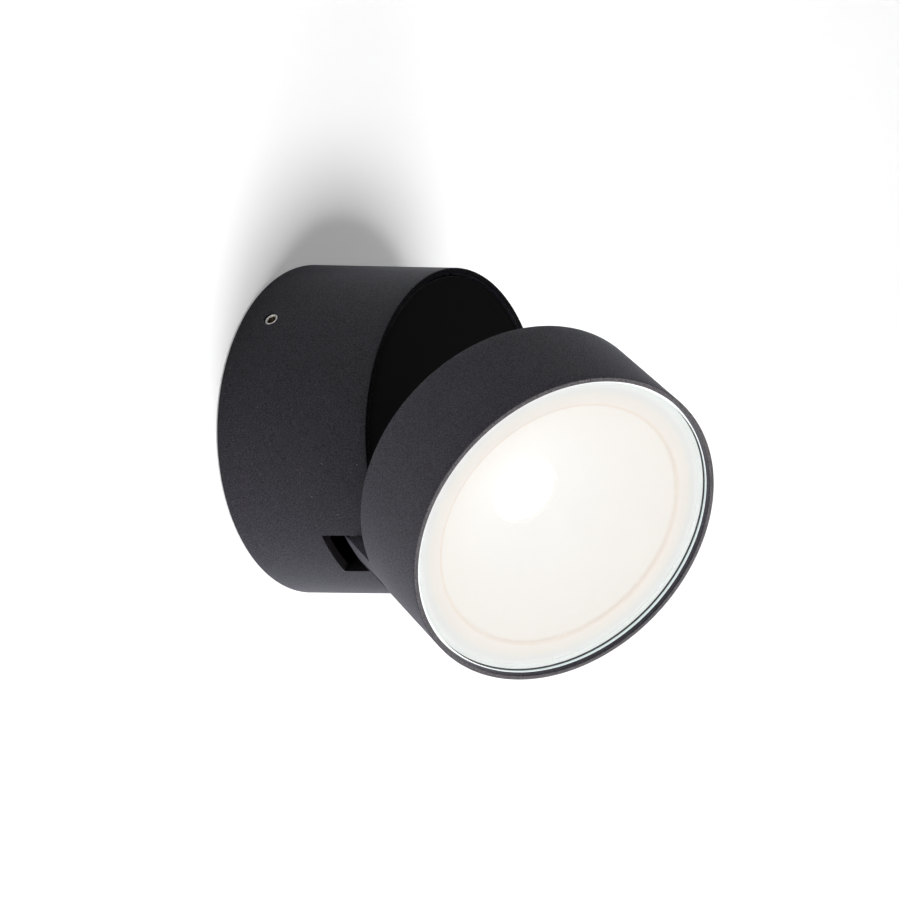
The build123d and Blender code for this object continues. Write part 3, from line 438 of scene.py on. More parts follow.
def turnedTree():
    # sweeps the outline, which comes in as a row of points, round the vertical axis
    tree, identifiers, given = startTree("turnedPiece", {
        "Outline": "Geometry", "Segments": "Int", "Crease": "Float", "Finish": "Material"}, "Piece")
    rows = addNode(tree, "GeometryNodeAttributeDomainSize", {0: given["Outline"]}).outputs["Point Count"]
    columns = addNode(tree, "FunctionNodeIntegerMath", {0: given["Segments"], 1: 1}).outputs[0]
    grid = addNode(tree, "GeometryNodeMeshGrid", {"Vertices X": columns, "Vertices Y": rows})
    index = addNode(tree, "GeometryNodeInputIndex").outputs[0]
    row = addNode(tree, "FunctionNodeIntegerMath", {0: index, 1: rows}, operation="MODULO").outputs[0]
    column = addNode(tree, "FunctionNodeIntegerMath", {0: index, 1: rows}, operation="DIVIDE_FLOOR").outputs[0]
    position = addNode(tree, "GeometryNodeInputPosition").outputs[0]
    spot = addNode(tree, "GeometryNodeSampleIndex", {
        "Geometry": given["Outline"], "Value": position, "Index": row}, data_type="FLOAT_VECTOR")
    parts = addNode(tree, "ShaderNodeSeparateXYZ", {0: spot.outputs[0]}).outputs
    share = addNode(tree, "ShaderNodeMath", {0: column, 1: given["Segments"]}, operation="DIVIDE").outputs[0]
    angle = addNode(tree, "ShaderNodeMath", {0: share, 1: math.tau}, operation="MULTIPLY").outputs[0]
    swept = {"Z": parts["Z"]}
    for axis, wave in (("X", "COSINE"), ("Y", "SINE")):
        turn = addNode(tree, "ShaderNodeMath", {0: angle}, operation=wave).outputs[0]
        swept[axis] = addNode(tree, "ShaderNodeMath", {0: parts["X"], 1: turn}, operation="MULTIPLY").outputs[0]
    sweptTo = addNode(tree, "ShaderNodeCombineXYZ", swept).outputs[0]
    shaped = addNode(tree, "GeometryNodeSetPosition", {"Geometry": grid.outputs["Mesh"], "Position": sweptTo})
    # the points that meet along the seam and at the poles become one
    merged = addNode(tree, "GeometryNodeMergeByDistance", {"Geometry": shaped.outputs[0], "Distance": 0.0005})
    smooth = addNode(tree, "GeometryNodeSetShadeSmooth", {"Geometry": merged.outputs[0], "Shade Smooth": True})
    bend = addNode(tree, "GeometryNodeInputMeshEdgeAngle").outputs["Unsigned Angle"]
    soft = addNode(tree, "FunctionNodeCompare", {0: bend, 1: given["Crease"]}, operation="LESS_THAN").outputs[0]
    creased = addNode(tree, "GeometryNodeSetShadeSmooth", {"Geometry": smooth.outputs[0], "Shade Smooth": soft},
                      domain="EDGE")
    endTree(tree, creased.outputs[0], given["Finish"])
    return tree, identifiers


def ringTree():
    # repeats an item round the vertical axis, each copy turned about it
    tree, identifiers, given = startTree("ringOfItems", {
        "Item": "Object", "Count": "Int", "First Angle": "Float", "Step Angle": "Float", "Level": "Float",
        "Finish": "Material"}, "Ring")
    index = addNode(tree, "GeometryNodeInputIndex").outputs[0]
    angle = addNode(tree, "ShaderNodeMath", {0: index, 1: given["Step Angle"], 2: given["First Angle"]},
                    operation="MULTIPLY_ADD")
    facing = addNode(tree, "ShaderNodeCombineXYZ", {"Z": angle.outputs[0]})
    spot = addNode(tree, "ShaderNodeCombineXYZ", {"Z": given["Level"]})
    dots = addNode(tree, "GeometryNodePoints", {"Count": given["Count"], "Position": spot.outputs[0]})
    item = addNode(tree, "GeometryNodeObjectInfo", {"Object": given["Item"]})
    placed = addNode(tree, "GeometryNodeInstanceOnPoints", {
        "Points": dots.outputs[0], "Instance": item.outputs["Geometry"], "Rotation": facing.outputs[0]})
    endTree(tree, placed.outputs[0], given["Finish"])
    return tree, identifiers


turning = turnedTree()
ringing = ringTree()


def link(obj):
    scene.collection.objects.link(obj)
    return obj


def settle(obj):
    # the evaluated shape becomes the object's own plain mesh, with its faces outwards
    reading = bpy.context.evaluated_depsgraph_get()
    mesh = bpy.data.meshes.new_from_object(obj.evaluated_get(reading))
    obj.modifiers.clear()
    obj.data = mesh
    work = bmesh.new()
    work.from_mesh(mesh)
    bmesh.ops.recalc_face_normals(work, faces=work.faces)
    work.to_mesh(mesh)
    work.free()
    return obj


def grown(name, points, treeAndInputs, **values):
    # a new object on which a Geometry Nodes tree is run once, with these inputs
    tree, identifiers = treeAndInputs
    mesh = bpy.data.meshes.new(name)
    mesh.from_pydata(points, [], [])
    obj = link(bpy.data.objects.new(name, mesh))
    modifier = obj.modifiers.new("grow", "NODES")
    modifier.node_group = tree
    for title, value in values.items():
        modifier[identifiers[title.replace("_", " ")]] = value
    return settle(obj)


def turnedPiece(name, corners, finish, segments=roundSteps, closed=True):
    points = [(point.x, 0, point.y) for point in roundedOutline(corners, closed)]
    return grown(name, points, turning, Segments=segments, Crease=math.radians(sharpAngle), Finish=finish)


def ringOf(name, item, count, first, step, level, finish):
    ring = grown(name, [], ringing, Item=item, Count=count, First_Angle=math.radians(first),
                 Step_Angle=math.radians(step), Level=level, Finish=finish)
    bpy.data.objects.remove(item)
    return ring


def toolFrom(fill):
    # a loose mesh object that cuts or adds, and is thrown away afterwards
    work = bmesh.new()
    fill(work)
    bmesh.ops.recalc_face_normals(work, faces=work.faces)
    mesh = bpy.data.meshes.new("tool")
    work.to_mesh(mesh)
    work.free()
    return link(bpy.data.objects.new("tool", mesh))


def block(xRange, yRange, zRange):
    # a box between these limits
    def fill(work):
        made = bmesh.ops.create_cube(work, size=1.0)
        for vert in made["verts"]:
            vert.co = Vector([pair[0] + (c + 0.5) * (pair[1] - pair[0])
                              for c, pair in zip(vert.co, (xRange, yRange, zRange))])
    return toolFrom(fill)


def rod(radius, start, end, segments=holeSteps, endRadius=None):
    # a round bar, or a cone, between two points
    def fill(work):
        way = Vector(end) - Vector(start)
        turn = way.to_track_quat("Z", "Y").to_matrix().to_4x4()
        bmesh.ops.create_cone(work, cap_ends=True, segments=segments, radius1=radius,
                              radius2=radius if endRadius is None else endRadius, depth=way.length,
                              matrix=Matrix.Translation((Vector(start) + Vector(end)) / 2) @ turn)
    return toolFrom(fill)


def carve(obj, *tools, operation="DIFFERENCE"):
    # cuts with the tools, or adds them, and throws them away
    for tool in tools:
        modifier = obj.modifiers.new("carve", "BOOLEAN")
        modifier.operation, modifier.solver, modifier.object = operation, "EXACT", tool
    settle(obj)
    for tool in tools:
        bpy.data.objects.remove(tool)
    return obj


def soften(obj, width):
    # a narrow rounding along the sharp edges, as a coat of paint leaves it
    modifier = obj.modifiers.new("soften", "BEVEL")
    modifier.width, modifier.segments, modifier.limit_method = width, 2, "ANGLE"
    modifier.angle_limit, modifier.harden_normals = math.radians(sharpAngle), False
    settle(obj)
    obj.data.shade_smooth()
    obj.data.set_sharp_from_angle(angle=math.radians(sharpAngle))


def seat(obj, place, body, slotName, replaced, finish=None):
    # puts the finished mesh at its place in the frame and lets it ride there
    mesh = obj.data
    mesh.transform(place)
    mesh.materials.clear()
    mesh.materials.append(finishes[finish or slotName])
    for polygon in mesh.polygons:
        polygon.material_index = 0
    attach(obj, body)
    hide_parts(replaced)


def recoat(obj, place, finish, chosen, byCorners=False):
    # gives another finish to the faces that chosen() picks by their centre, or by all their corners
    back = place.inverted()
    mesh = obj.data
    mesh.materials.append(finishes[finish])
    for polygon in mesh.polygons:
        spots = [mesh.vertices[i].co for i in polygon.vertices] if byCorners else [polygon.center]
        if all(chosen(back @ spot) for spot in spots):
            polygon.material_index = len(mesh.materials) - 1


def aside(spot):
    return math.hypot(spot.x, spot.y)


# the cast drum: radii, and levels from the wall. The grub holes' cutters reach grubInside and grubOutside either
# side of the back radius, and the last five values bound the faces that get painted shade.
drum = {"backRadius": 46.49, "frontRadius": 44.99, "start": 0.5, "front": 48.5, "boreRadius": 44.0,
        "boreEnd": 17.0, "innerRadius": 43.0, "recessRadius": 43.3, "ledge": 46.3, "ledgeUnder": 44.3,
        "ledgeRadius": 38.0, "edge": 0.4, "boreRound": 0.15, "frontRound": 0.2, "coatRound": 0.12,
        "slotHalf": 7.5, "slotBottom": 28.1, "lugInner": 34.0, "lugStart": 29.5, "lugWidth": 6.0,
        "padHalf": 8.0, "padInner": 36.5, "padStart": 38.0, "intoLedge": 0.4, "intoWall": 0.8,
        "pinHole": 1.27, "pinHalf": 12.05, "retainerHole": 1.3, "retainerHoleLevel": 41.6,
        "barHole": 1.55, "barHoleRadius": 39.4, "screwDepth": 5.0,
        "grubHole": 2.05, "grubLevel": 9.9, "grubAngle": 89.0, "grubInside": 5.3, "grubOutside": 2.7,
        "grubSteps": 64, "shadedBand": 0.15, "grubBand": 0.2,
        "slotBand": 0.03, "slotFront": 0.5, "slotOuter": 0.05}


def grubReach(spot):
    # how far out along the nearer grub screw's axis a spot lies, and how far off that axis
    turn = math.radians(math.copysign(drum["grubAngle"], spot.y))
    along = spot.x * math.cos(turn) + spot.y * math.sin(turn)
    across = spot.x * math.sin(turn) - spot.y * math.cos(turn)
    return along, math.hypot(across, spot.z - drum["grubLevel"])


def drumShell():
    d, pinRadius, pinLevel = drum, hinge["radius"], hinge["level"]
    shell = turnedPiece("drumShell", [
        (d["boreRadius"], d["start"], d["boreRound"]), (d["backRadius"], d["start"], d["edge"]),
        (d["frontRadius"], d["front"], d["edge"]), (d["recessRadius"], d["front"], d["frontRound"]),
        (d["recessRadius"], d["ledge"], 0), (d["ledgeRadius"], d["ledge"], d["frontRound"]),
        (d["ledgeRadius"], d["ledgeUnder"], 0), (d["innerRadius"], d["ledgeUnder"], 0),
        (d["innerRadius"], d["boreEnd"], 0), (d["boreRadius"], d["boreEnd"], 0)],
        finishes["graphite_powder_coat"])
    lumps = []    # two hinge lugs beside the slot and two pads for the driver's bar
    for side in (-1, 1):
        lug = ((d["lugInner"], d["frontRadius"]), (d["slotHalf"], d["slotHalf"] + d["lugWidth"]), d["lugStart"])
        pad = ((-d["padHalf"], d["padHalf"]), (d["padInner"], d["frontRadius"]), d["padStart"])
        for xRange, yRange, start in (lug, pad):
            lump = block(xRange, sorted(side * y for y in yRange), (start, d["ledgeUnder"] + d["intoLedge"]))
            inside = rod(d["innerRadius"] + d["intoWall"], (0, 0, 0), (0, 0, d["front"]), roundSteps)
            lumps.append(carve(lump, inside, operation="INTERSECT"))
    carve(shell, *lumps, operation="UNION")
    slotLevels = (d["slotBottom"], d["front"] + past)
    cuts = [block((0, 2 * d["backRadius"]), (-d["slotHalf"], d["slotHalf"]), slotLevels),
            rod(d["pinHole"], (pinRadius, -d["pinHalf"], pinLevel), (pinRadius, d["pinHalf"], pinLevel)),
            block((d["lugInner"] - past, pinRadius), (-d["pinHalf"], d["pinHalf"]),
                  (pinLevel - d["pinHole"], pinLevel + d["pinHole"]))]
    for side in (-1, 1):
        y, level = side * (d["slotHalf"] + d["lugWidth"] / 2), d["retainerHoleLevel"]
        cuts.append(rod(d["retainerHole"], (d["lugInner"] - past, y, level),
                        (d["lugInner"] + d["screwDepth"], y, level), smallSteps))
        y = side * d["barHoleRadius"]
        cuts.append(rod(d["barHole"], (0, y, d["padStart"] - past), (0, y, d["padStart"] + d["screwDepth"]),
                        smallSteps))
        angle = math.radians(side * d["grubAngle"])
        way, level = Vector((math.cos(angle), math.sin(angle), 0)), Vector((0, 0, d["grubLevel"]))
        cuts.append(rod(d["grubHole"], way * (d["backRadius"] - d["grubInside"]) + level,
                        way * (d["backRadius"] + d["grubOutside"]) + level, d["grubSteps"]))
    carve(shell, *cuts)
    soften(shell, d["coatRound"])
    seat(shell, drumPlace, "drum", "graphite_powder_coat", "drum_housing")

    def inGrubHole(spot):
        along, off = grubReach(spot)
        return along > 0 and off < d["grubHole"] + d["grubBand"]

    def inSlot(spot):
        return (spot.x > 0 and abs(spot.y) < d["slotHalf"] + d["slotBand"]
                and aside(spot) < d["frontRadius"] - d["slotOuter"]
                and d["slotBottom"] - d["slotBand"] < spot.z < d["front"] - d["slotFront"])

    recoat(shell, drumPlace, "shaded_coat", lambda spot: spot.z > d["front"] - d["shadedBand"])
    # painted shade in the grub holes' mouths and inside the slot
    recoat(shell, drumPlace, "recess_shade_coat", inGrubHole, byCorners=True)
    recoat(shell, drumPlace, "recess_shade_coat", inSlot)


# the cast head, with the tongue that goes into the drum's slot; levels are those of the closed head
head = {"radius": 44.99, "back": 50.95, "front": 82.3, "rebateRadius": 43.65, "rebate": 76.7,
        "innerRadius": 42.6, "floor": 53.45, "bossRadius": 17.0, "bossTop": 54.45, "edge": 0.4,
        "frontRound": 0.2, "floorRound": 0.6, "bossFoot": 0.3, "bossRound": 0.2, "coatRound": 0.12,
        "tongueHalf": 6.25, "intoFloor": 0.5, "knuckle": 4.0, "knuckleSteps": 96, "pinHole": 1.28,
        "grooveHalf": 1.3, "grooveDepth": 2.4, "leadHole": 1.1, "leadRadius": 38.2, "leadBend": 4.0,
        "ledScrewHole": 1.05, "ledScrewRadius": 13.2, "ledScrewEnd": 52.95,
        "rimHighlightBand": 0.06, "rimHighlightInner": 0.12}


def headShell():
    h, pinRadius, pinLevel = head, hinge["radius"], hinge["level"]
    shell = turnedPiece("headShell", [
        (0, h["back"], 0), (h["radius"], h["back"], h["edge"]), (h["radius"], h["front"], h["edge"]),
        (h["rebateRadius"], h["front"], h["frontRound"]), (h["rebateRadius"], h["rebate"], 0),
        (h["innerRadius"], h["rebate"], 0), (h["innerRadius"], h["floor"], h["floorRound"]),
        (h["bossRadius"], h["floor"], h["bossFoot"]), (h["bossRadius"], h["bossTop"], h["bossRound"]),
        (0, h["bossTop"], 0)], finishes["graphite_powder_coat"], closed=False)
    inner = pinRadius - h["knuckle"]
    half = h["tongueHalf"]
    tongue = block((inner, h["radius"] + past), (-half, half), (pinLevel, h["floor"] - h["intoFloor"]))
    knuckle = rod(h["knuckle"], (pinRadius, -half, pinLevel), (pinRadius, half, pinLevel), h["knuckleSteps"])
    carve(tongue, knuckle, operation="UNION")
    carve(tongue, rod(h["radius"], (0, 0, 0), (0, 0, h["front"]), roundSteps), operation="INTERSECT")
    carve(shell, tongue, operation="UNION")
    groove = (-h["grooveHalf"], h["grooveHalf"])
    lead, under, over = h["leadRadius"], h["back"] - past, h["floor"] + past
    cuts = [rod(h["pinHole"], (pinRadius, -half - past, pinLevel), (pinRadius, half + past, pinLevel)),
            block((inner - past, inner + h["grooveDepth"]), groove, (0, h["back"])),
            rod(h["leadHole"], (lead, 0, under), (lead, 0, over)),
            block((lead - h["leadBend"], lead), (-h["leadHole"], h["leadHole"]), (under, over))]
    for side in (-1, 1):
        y = side * h["ledScrewRadius"]
        cuts.append(rod(h["ledScrewHole"], (0, y, h["ledScrewEnd"]), (0, y, h["bossTop"] + past), smallSteps))
    carve(shell, *cuts)
    soften(shell, h["coatRound"])
    # the head gets the lit copy of the coat: painted light, a shade lighter than the drum's
    seat(shell, headPlace, "head", "graphite_powder_coat", "head_housing", finish="head_lit_coat")
    # a painted highlight on the flat of the head's front rim
    recoat(shell, headPlace, "rim_highlight_coat", lambda spot: (
        spot.z > h["front"] - h["rimHighlightBand"] and aside(spot) > h["rebateRadius"] + h["rimHighlightInner"]))


# the black disc in the drum's front, with three legs that snap behind the drum's ledge
cover = {"radius": 42.8, "under": 46.3, "top": 47.8, "edge": 0.3, "softRound": 0.08, "slotFrom": 36.0,
         "legOuter": 37.8, "legInner": 36.6, "legStart": 43.15, "legHalf": 4.0, "legInto": 0.4, "legSteps": 128,
         "legCount": 3, "firstLeg": 180, "hookOuter": 38.6, "hookTop": 44.25, "hookNose": 0.4, "hookRise": 0.5,
         "coverHighlightInner": 0.05}


def frontCover():
    c = cover
    finish = finishes["black_plastic"]
    disc = turnedPiece("frontCover", [
        (0, c["under"], 0), (c["radius"], c["under"], 0), (c["radius"], c["top"], c["edge"]), (0, c["top"], 0)],
        finish, closed=False)
    leg = turnedPiece("leg", [
        (c["legInner"], c["legStart"], 0), (c["hookOuter"] - c["hookNose"], c["legStart"], 0),
        (c["hookOuter"], c["legStart"] + c["hookRise"], 0), (c["hookOuter"], c["hookTop"], 0),
        (c["legOuter"], c["hookTop"], 0), (c["legOuter"], c["under"] + c["legInto"], 0),
        (c["legInner"], c["under"] + c["legInto"], 0)], finish, c["legSteps"])
    carve(leg, block((0, 2 * c["radius"]), (-c["legHalf"], c["legHalf"]), (0, c["top"])), operation="INTERSECT")
    legs = ringOf("legs", leg, c["legCount"], c["firstLeg"], 360 / c["legCount"], 0, finish)
    carve(disc, legs, operation="UNION")
    slot = (-drum["slotHalf"], drum["slotHalf"])
    carve(disc, block((c["slotFrom"], 2 * c["radius"]), slot, (0, c["top"] + past)))
    soften(disc, c["softRound"])
    seat(disc, drumPlace, "drum", "black_plastic", "front_cover")
    # a painted highlight along the cover's rounded edge
    recoat(disc, drumPlace, "cover_edge_highlight", lambda spot: (
        c["top"] - c["edge"] < spot.z < c["top"] - lap
        and aside(spot) > c["radius"] - c["edge"] - c["coverHighlightInner"]))


# M4 set screws with a cone point, and a hexagon socket with a countersunk mouth and a drilled end
grub = {"radius": 2.0, "sunk": 0.25, "end": 42.95, "point": 1.0, "chamfer": 0.2, "topRound": 0.06,
        "softRound": 0.03, "steps": 96, "count": 2, "socketRadius": 1.42, "socketDepth": 1.6, "socketSides": 6,
        "mouth": 1.54, "mouthEnd": 1.17, "mouthDepth": 0.45, "drillTip": 0.05, "drillShare": 0.92,
        "drillDepth": 0.55, "socketShadeBand": 0.06, "socketShadeFrom": 0.12, "socketShadeTo": 2.6}


def grubScrews():
    g, d = grub, drum
    finish = finishes["stainless_steel"]
    taper = (d["backRadius"] - d["frontRadius"]) / (d["front"] - d["start"])
    top = d["backRadius"] - taper * (d["grubLevel"] - d["start"]) - g["sunk"]
    body = turnedPiece("grub", [
        (0, g["end"], 0), (g["point"], g["end"], 0), (g["radius"], g["end"] + g["point"], 0),
        (g["radius"], top - g["chamfer"], 0), (g["radius"] - g["chamfer"], top, g["topRound"]), (0, top, 0)],
        finish, g["steps"], closed=False)
    bottom = top - g["socketDepth"]
    carve(body, rod(g["socketRadius"], (0, 0, bottom), (0, 0, top + past), g["socketSides"]),
          rod(g["mouthEnd"], (0, 0, top - g["mouthDepth"]), (0, 0, top + lap), endRadius=g["mouth"]),
          rod(g["drillTip"], (0, 0, bottom - g["drillDepth"]), (0, 0, bottom + lap),
              endRadius=g["socketRadius"] * g["drillShare"]))
    soften(body, g["softRound"])
    body.data.transform(Matrix.Rotation(math.radians(90), 4, "Y"))
    ring = ringOf("grubScrewSet", body, g["count"], -d["grubAngle"], 2 * d["grubAngle"], d["grubLevel"], finish)
    seat(ring, drumPlace, "drum", "stainless_steel", "grub_screws")

    def inSocket(spot):
        along, off = grubReach(spot)
        return top - g["socketShadeTo"] < along < top - g["socketShadeFrom"] and off < g["socketRadius"] + g["socketShadeBand"]

    # painted shade inside the sockets
    recoat(ring, drumPlace, "socket_shade", inSocket)


# the lens: a flat disc with two narrow bevels, between which its edge is ground
lens = {"radius": 43.3, "under": 78.3, "top": 81.3, "chamfer": 0.3, "darkTo": 0.8, "lightFrom": 0.8,
        "edgeBand": 0.02, "steps": 512}


def lensGlass():
    g, radius, face = lens, lens["radius"], lens["radius"] - lens["chamfer"]
    darkTop, lightBottom = g["under"] + g["darkTo"], g["top"] - g["lightFrom"]
    glass = turnedPiece("lensGlass", [
        (0, g["under"], 0), (face, g["under"], 0), (radius, g["under"] + g["chamfer"], 0), (radius, darkTop, 0),
        (radius, lightBottom, 0), (radius, g["top"] - g["chamfer"], 0), (face, g["top"], 0), (0, g["top"], 0)],
        finishes["lens_glass"], g["steps"], closed=False)
    seat(glass, headPlace, "head", "lens_glass", "lens_glass")
    recoat(glass, headPlace, "ground_edge", lambda spot: aside(spot) > radius - g["edgeBand"])
    recoat(glass, headPlace, "dark_bevel", lambda spot: (
        aside(spot) > face and g["under"] + lap < spot.z < darkTop))
    recoat(glass, headPlace, "light_bevel", lambda spot: (
        aside(spot) > face and lightBottom < spot.z < g["top"] - lap))


# the seal that the lens lies in, with a lip up round the lens's edge
seal = {"outer": 43.6, "inner": 41.6, "under": 77.9, "top": 78.3, "lipInner": 43.35, "lipTop": 80.3,
        "footRound": 0.1, "lipRound": 0.08}


def lensSeal():
    s = seal
    ring = turnedPiece("lensSeal", [
        (s["inner"], s["under"], s["footRound"]), (s["outer"], s["under"], 0),
        (s["outer"], s["lipTop"], s["lipRound"]), (s["lipInner"], s["lipTop"], s["lipRound"]),
        (s["lipInner"], s["top"], 0), (s["inner"], s["top"], s["footRound"])], finishes["clear_silicone"])
    seat(ring, headPlace, "head", "clear_silicone", "lens_seal")


# the reflector: a cone from the light source up to a rounded mouth, and a flange under the seal
bowl = {"flangeOuter": 43.3, "flangeTop": 77.9, "flangeUnder": 76.7, "flangeRound": 0.15, "lipOuter": 36.3,
        "lipRound": 0.75, "mouth": 35.1, "mouthLevel": 77.1, "mouthRound": 0.1, "underRadius": 35.4,
        "underLevel": 75.54, "underRound": 0.3, "neckOuter": 10.8, "neckInner": 9.6, "neckTop": 58.45,
        "neckRound": 0.4, "neckUnder": 57.73, "base": 56.45, "steps": 384}


def reflectorBowl():
    b = bowl
    shade = turnedPiece("reflectorBowl", [
        (b["lipOuter"], b["flangeTop"], 0), (b["flangeOuter"], b["flangeTop"], b["flangeRound"]),
        (b["flangeOuter"], b["flangeUnder"], b["flangeRound"]),
        (b["lipOuter"], b["flangeUnder"], b["underRound"]),
        (b["underRadius"], b["underLevel"], b["underRound"]),
        (b["neckOuter"], b["neckUnder"], b["underRound"]), (b["neckOuter"], b["base"], 0),
        (b["neckInner"], b["base"], 0), (b["neckInner"], b["neckTop"], b["neckRound"]),
        (b["mouth"], b["mouthLevel"], b["mouthRound"]), (b["mouth"], b["flangeTop"], b["lipRound"])],
        finishes["white_reflector"], b["steps"])
    seat(shade, headPlace, "head", "white_reflector", "reflector")


# the light source: a dam of silicone round a field of phosphor
chip = {"radius": 9.0, "base": 56.45, "top": 57.35, "edge": 0.25, "damInner": 8.1, "damRound": 0.12,
        "damSlope": 0.2, "field": 57.2, "fieldRound": 0.1, "dome": 0.05, "steps": 192}


def ledEmitter():
    c = chip
    lit = turnedPiece("ledEmitter", [
        (0, c["base"], 0), (c["radius"], c["base"], 0), (c["radius"], c["top"], c["edge"]),
        (c["damInner"], c["top"], c["damRound"]), (c["damInner"] - c["damSlope"], c["field"], c["fieldRound"]),
        (0, c["field"] + c["dome"], 0)], finishes["led_phosphor"], c["steps"], closed=False)
    seat(lit, headPlace, "head", "led_phosphor", "led_emitter")


drumShell()
print("drum shell made")
headShell()
print("head shell made")
frontCover()
print("front cover made")
grubScrews()
print("grub screws made")
lensGlass()
lensSeal()
reflectorBowl()
ledEmitter()
print("lens, seal, reflector and light source made")


shot = {"azimuth": -57.07, "elevation": 1.72, "distance": 0.9268, "focalPixels": 3264.0, "imagePixels": 900,
        "originPixels": (-135.91, -21.22), "sensorMm": 36.0, "nearest": 0.01, "farthest": 20}


def placeCamera():
    # originPixels is how far the frame's origin lies right of and below the picture's centre
    s = shot
    a, e = math.radians(s["azimuth"]), math.radians(s["elevation"])
    back = Vector((math.sin(a) * math.cos(e), -math.cos(a) * math.cos(e), math.sin(e)))
    right = (-back).cross(Vector((0, 0, 1))).normalized()
    up = right.cross(-back)
    perPixel = s["distance"] / s["focalPixels"]
    data = bpy.data.cameras.new("camera")
    data.sensor_width, data.lens = s["sensorMm"], s["sensorMm"] * s["focalPixels"] / s["imagePixels"]
    data.clip_start, data.clip_end = s["nearest"], s["farthest"]
    camera = link(bpy.data.objects.new("camera", data))
    rightBy, downBy = s["originPixels"]
    camera.location = back * s["distance"] - right * rightBy * perPixel + up * downBy * perPixel
    camera.rotation_mode = "QUATERNION"
    camera.rotation_quaternion = (-back).to_track_quat("-Z", "Y")
    scene.camera = camera


room = {"wallHalf": 3.0, "wallCovered": 0.0435, "wallAhead": 0.0002, "wallSteps": 128, "wallColour": "#f1f1f1",
        "wallLift": 0.27, "floorLevel": -1.1, "floorColour": "#f1f1f1", "floorLift": 0.3, "ambient": 0.08,
        "mirrored": 0.5}


def seenRays(tree):
    # 1 for what the camera or glass sees, and 0 for the light that falls on the object; what a gloss mirrors is
    # dimmed, so that the dark coat doesn't whiten where it is seen edge on
    path = addNode(tree, "ShaderNodeLightPath").outputs
    seen = addNode(tree, "ShaderNodeMath", {0: path["Is Glossy Ray"], 1: room["mirrored"]},
                   operation="MULTIPLY")
    for ray in ("Is Camera Ray", "Is Transmission Ray"):
        seen = addNode(tree, "ShaderNodeMath", {0: seen.outputs[0], 1: path[ray]}, operation="MAXIMUM")
    return seen.outputs[0]


def paleBoard(name, colour, lift):
    # matt white paint, clear from behind, and lifted a little for the eye so that it reads as white
    material = bpy.data.materials.new(name)
    material.use_nodes = True
    tree = material.node_tree
    tree.nodes.clear()
    matt = addNode(tree, "ShaderNodeBsdfDiffuse", {"Color": hexColour(colour)})
    strength = addNode(tree, "ShaderNodeMath", {0: seenRays(tree), 1: lift}, operation="MULTIPLY")
    glow = addNode(tree, "ShaderNodeEmission", {"Strength": strength.outputs[0]})
    front = addNode(tree, "ShaderNodeAddShader", {0: matt.outputs[0], 1: glow.outputs[0]})
    clear = addNode(tree, "ShaderNodeBsdfTransparent")
    behind = addNode(tree, "ShaderNodeNewGeometry").outputs["Backfacing"]
    both = addNode(tree, "ShaderNodeMixShader", {0: behind, 1: front.outputs[0], 2: clear.outputs[0]})
    addNode(tree, "ShaderNodeOutputMaterial", {"Surface": both.outputs[0]})
    return material


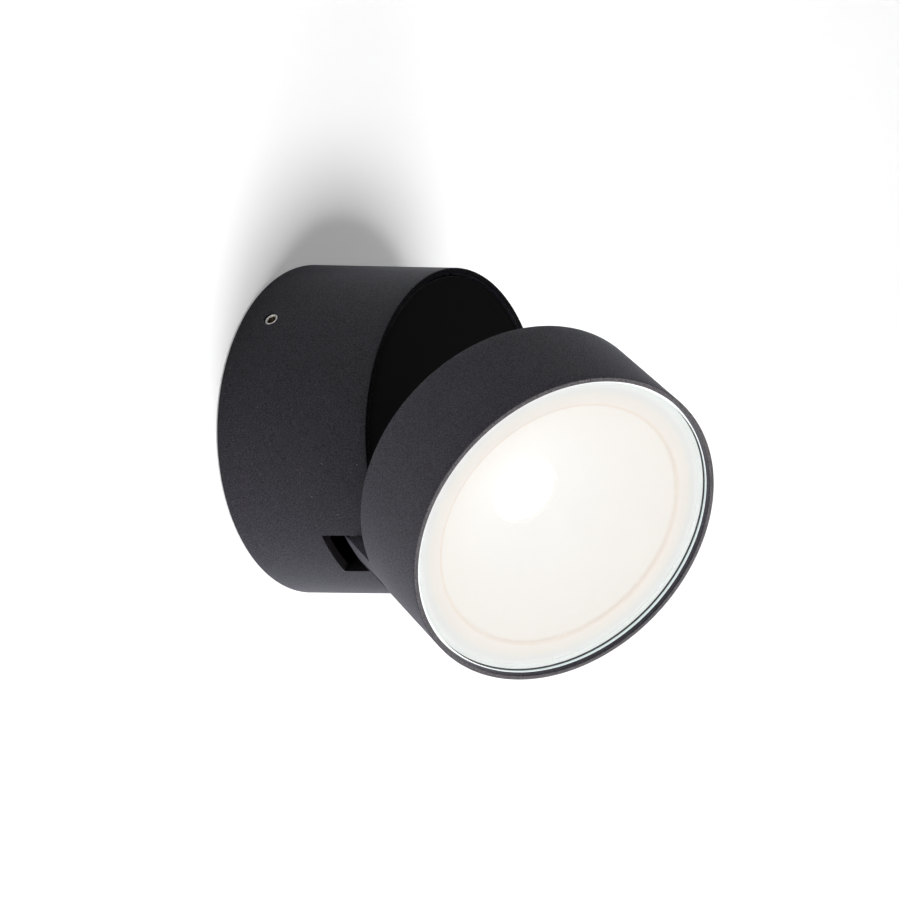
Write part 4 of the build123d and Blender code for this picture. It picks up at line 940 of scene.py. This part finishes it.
def wallSheet():
    # a wide ring, and in it the disc that the drum covers, which is unlit and so has no lift
    r = room
    work = bmesh.new()
    rings = [bmesh.ops.create_circle(work, cap_ends=False, segments=r["wallSteps"], radius=radius)["verts"]
             for radius in (r["wallCovered"], r["wallHalf"])]
    bmesh.ops.bridge_loops(work, edges=work.edges[:])
    work.faces.new(rings[0]).material_index = 1
    bmesh.ops.rotate(work, verts=work.verts, matrix=Matrix.Rotation(math.radians(90), 3, "X"))
    bmesh.ops.translate(work, verts=work.verts, vec=(0, -r["wallAhead"], 0))
    for face in work.faces:
        face.normal_update()
        if face.normal.y > 0:
            face.normal_flip()
    mesh = bpy.data.meshes.new("wall")
    work.to_mesh(mesh)
    work.free()
    mesh.materials.append(paleBoard("whiteWallPaint", r["wallColour"], r["wallLift"]))
    mesh.materials.append(paleBoard("coveredWallPaint", r["wallColour"], 0.0))
    return link(bpy.data.objects.new("wall", mesh))


def floorSheet():
    half, level = room["wallHalf"], room["floorLevel"]
    mesh = bpy.data.meshes.new("floor")
    corners = [(x * half, y * half, level) for x, y in ((-1, -1), (1, -1), (1, 1), (-1, 1))]
    mesh.from_pydata(corners, [], [(0, 1, 2, 3)])
    mesh.materials.append(paleBoard("paleFloor", room["floorColour"], room["floorLift"]))
    return link(bpy.data.objects.new("floor", mesh))


def whiteSky():
    world = bpy.data.worlds.new("studio")
    scene.world = world
    world.use_nodes = True
    tree = world.node_tree
    tree.nodes.clear()
    strength = addNode(tree, "ShaderNodeMapRange", {
        "Value": seenRays(tree), "To Min": room["ambient"], "To Max": 1.0})
    sky = addNode(tree, "ShaderNodeBackground", {"Color": (1, 1, 1, 1), "Strength": strength.outputs[0]})
    addNode(tree, "ShaderNodeOutputWorld", {"Surface": sky.outputs[0]})


# where each box hangs from the origin: degrees above the horizon, and degrees to the right of straight out from
# the wall for someone who faces it
softboxes = {
    "key": {"above": -24, "toRight": -17, "distance": 2.2, "size": 0.85, "power": 46.0, "colour": "#ffffff"},
    "side": {"above": 10, "toRight": -74, "distance": 2.0, "size": 0.9, "power": 1.0, "colour": "#ffffff"},
    "under": {"above": -68, "toRight": -30, "distance": 1.1, "size": 0.7, "power": 6.6, "colour": "#ffffff"},
}


def hangLights():
    for name, box in softboxes.items():
        data = bpy.data.lights.new(name, "AREA")
        data.shape, data.size, data.energy = "DISK", box["size"], box["power"]
        data.color = hexColour(box["colour"])[:3]
        lamp = link(bpy.data.objects.new(name, data))
        up, right = math.radians(box["above"]), math.radians(box["toRight"])
        way = Vector((math.sin(right) * math.cos(up), -math.cos(right) * math.cos(up), math.sin(up)))
        lamp.location = way * box["distance"]
        lamp.rotation_mode = "QUATERNION"
        lamp.rotation_quaternion = (-way).to_track_quat("-Z", "Y")
        lamp.visible_camera = False


placeCamera()
wallSheet()
floorSheet()
whiteSky()
hangLights()
scene.view_settings.view_transform = "Standard"
print("camera, wall and light placed")
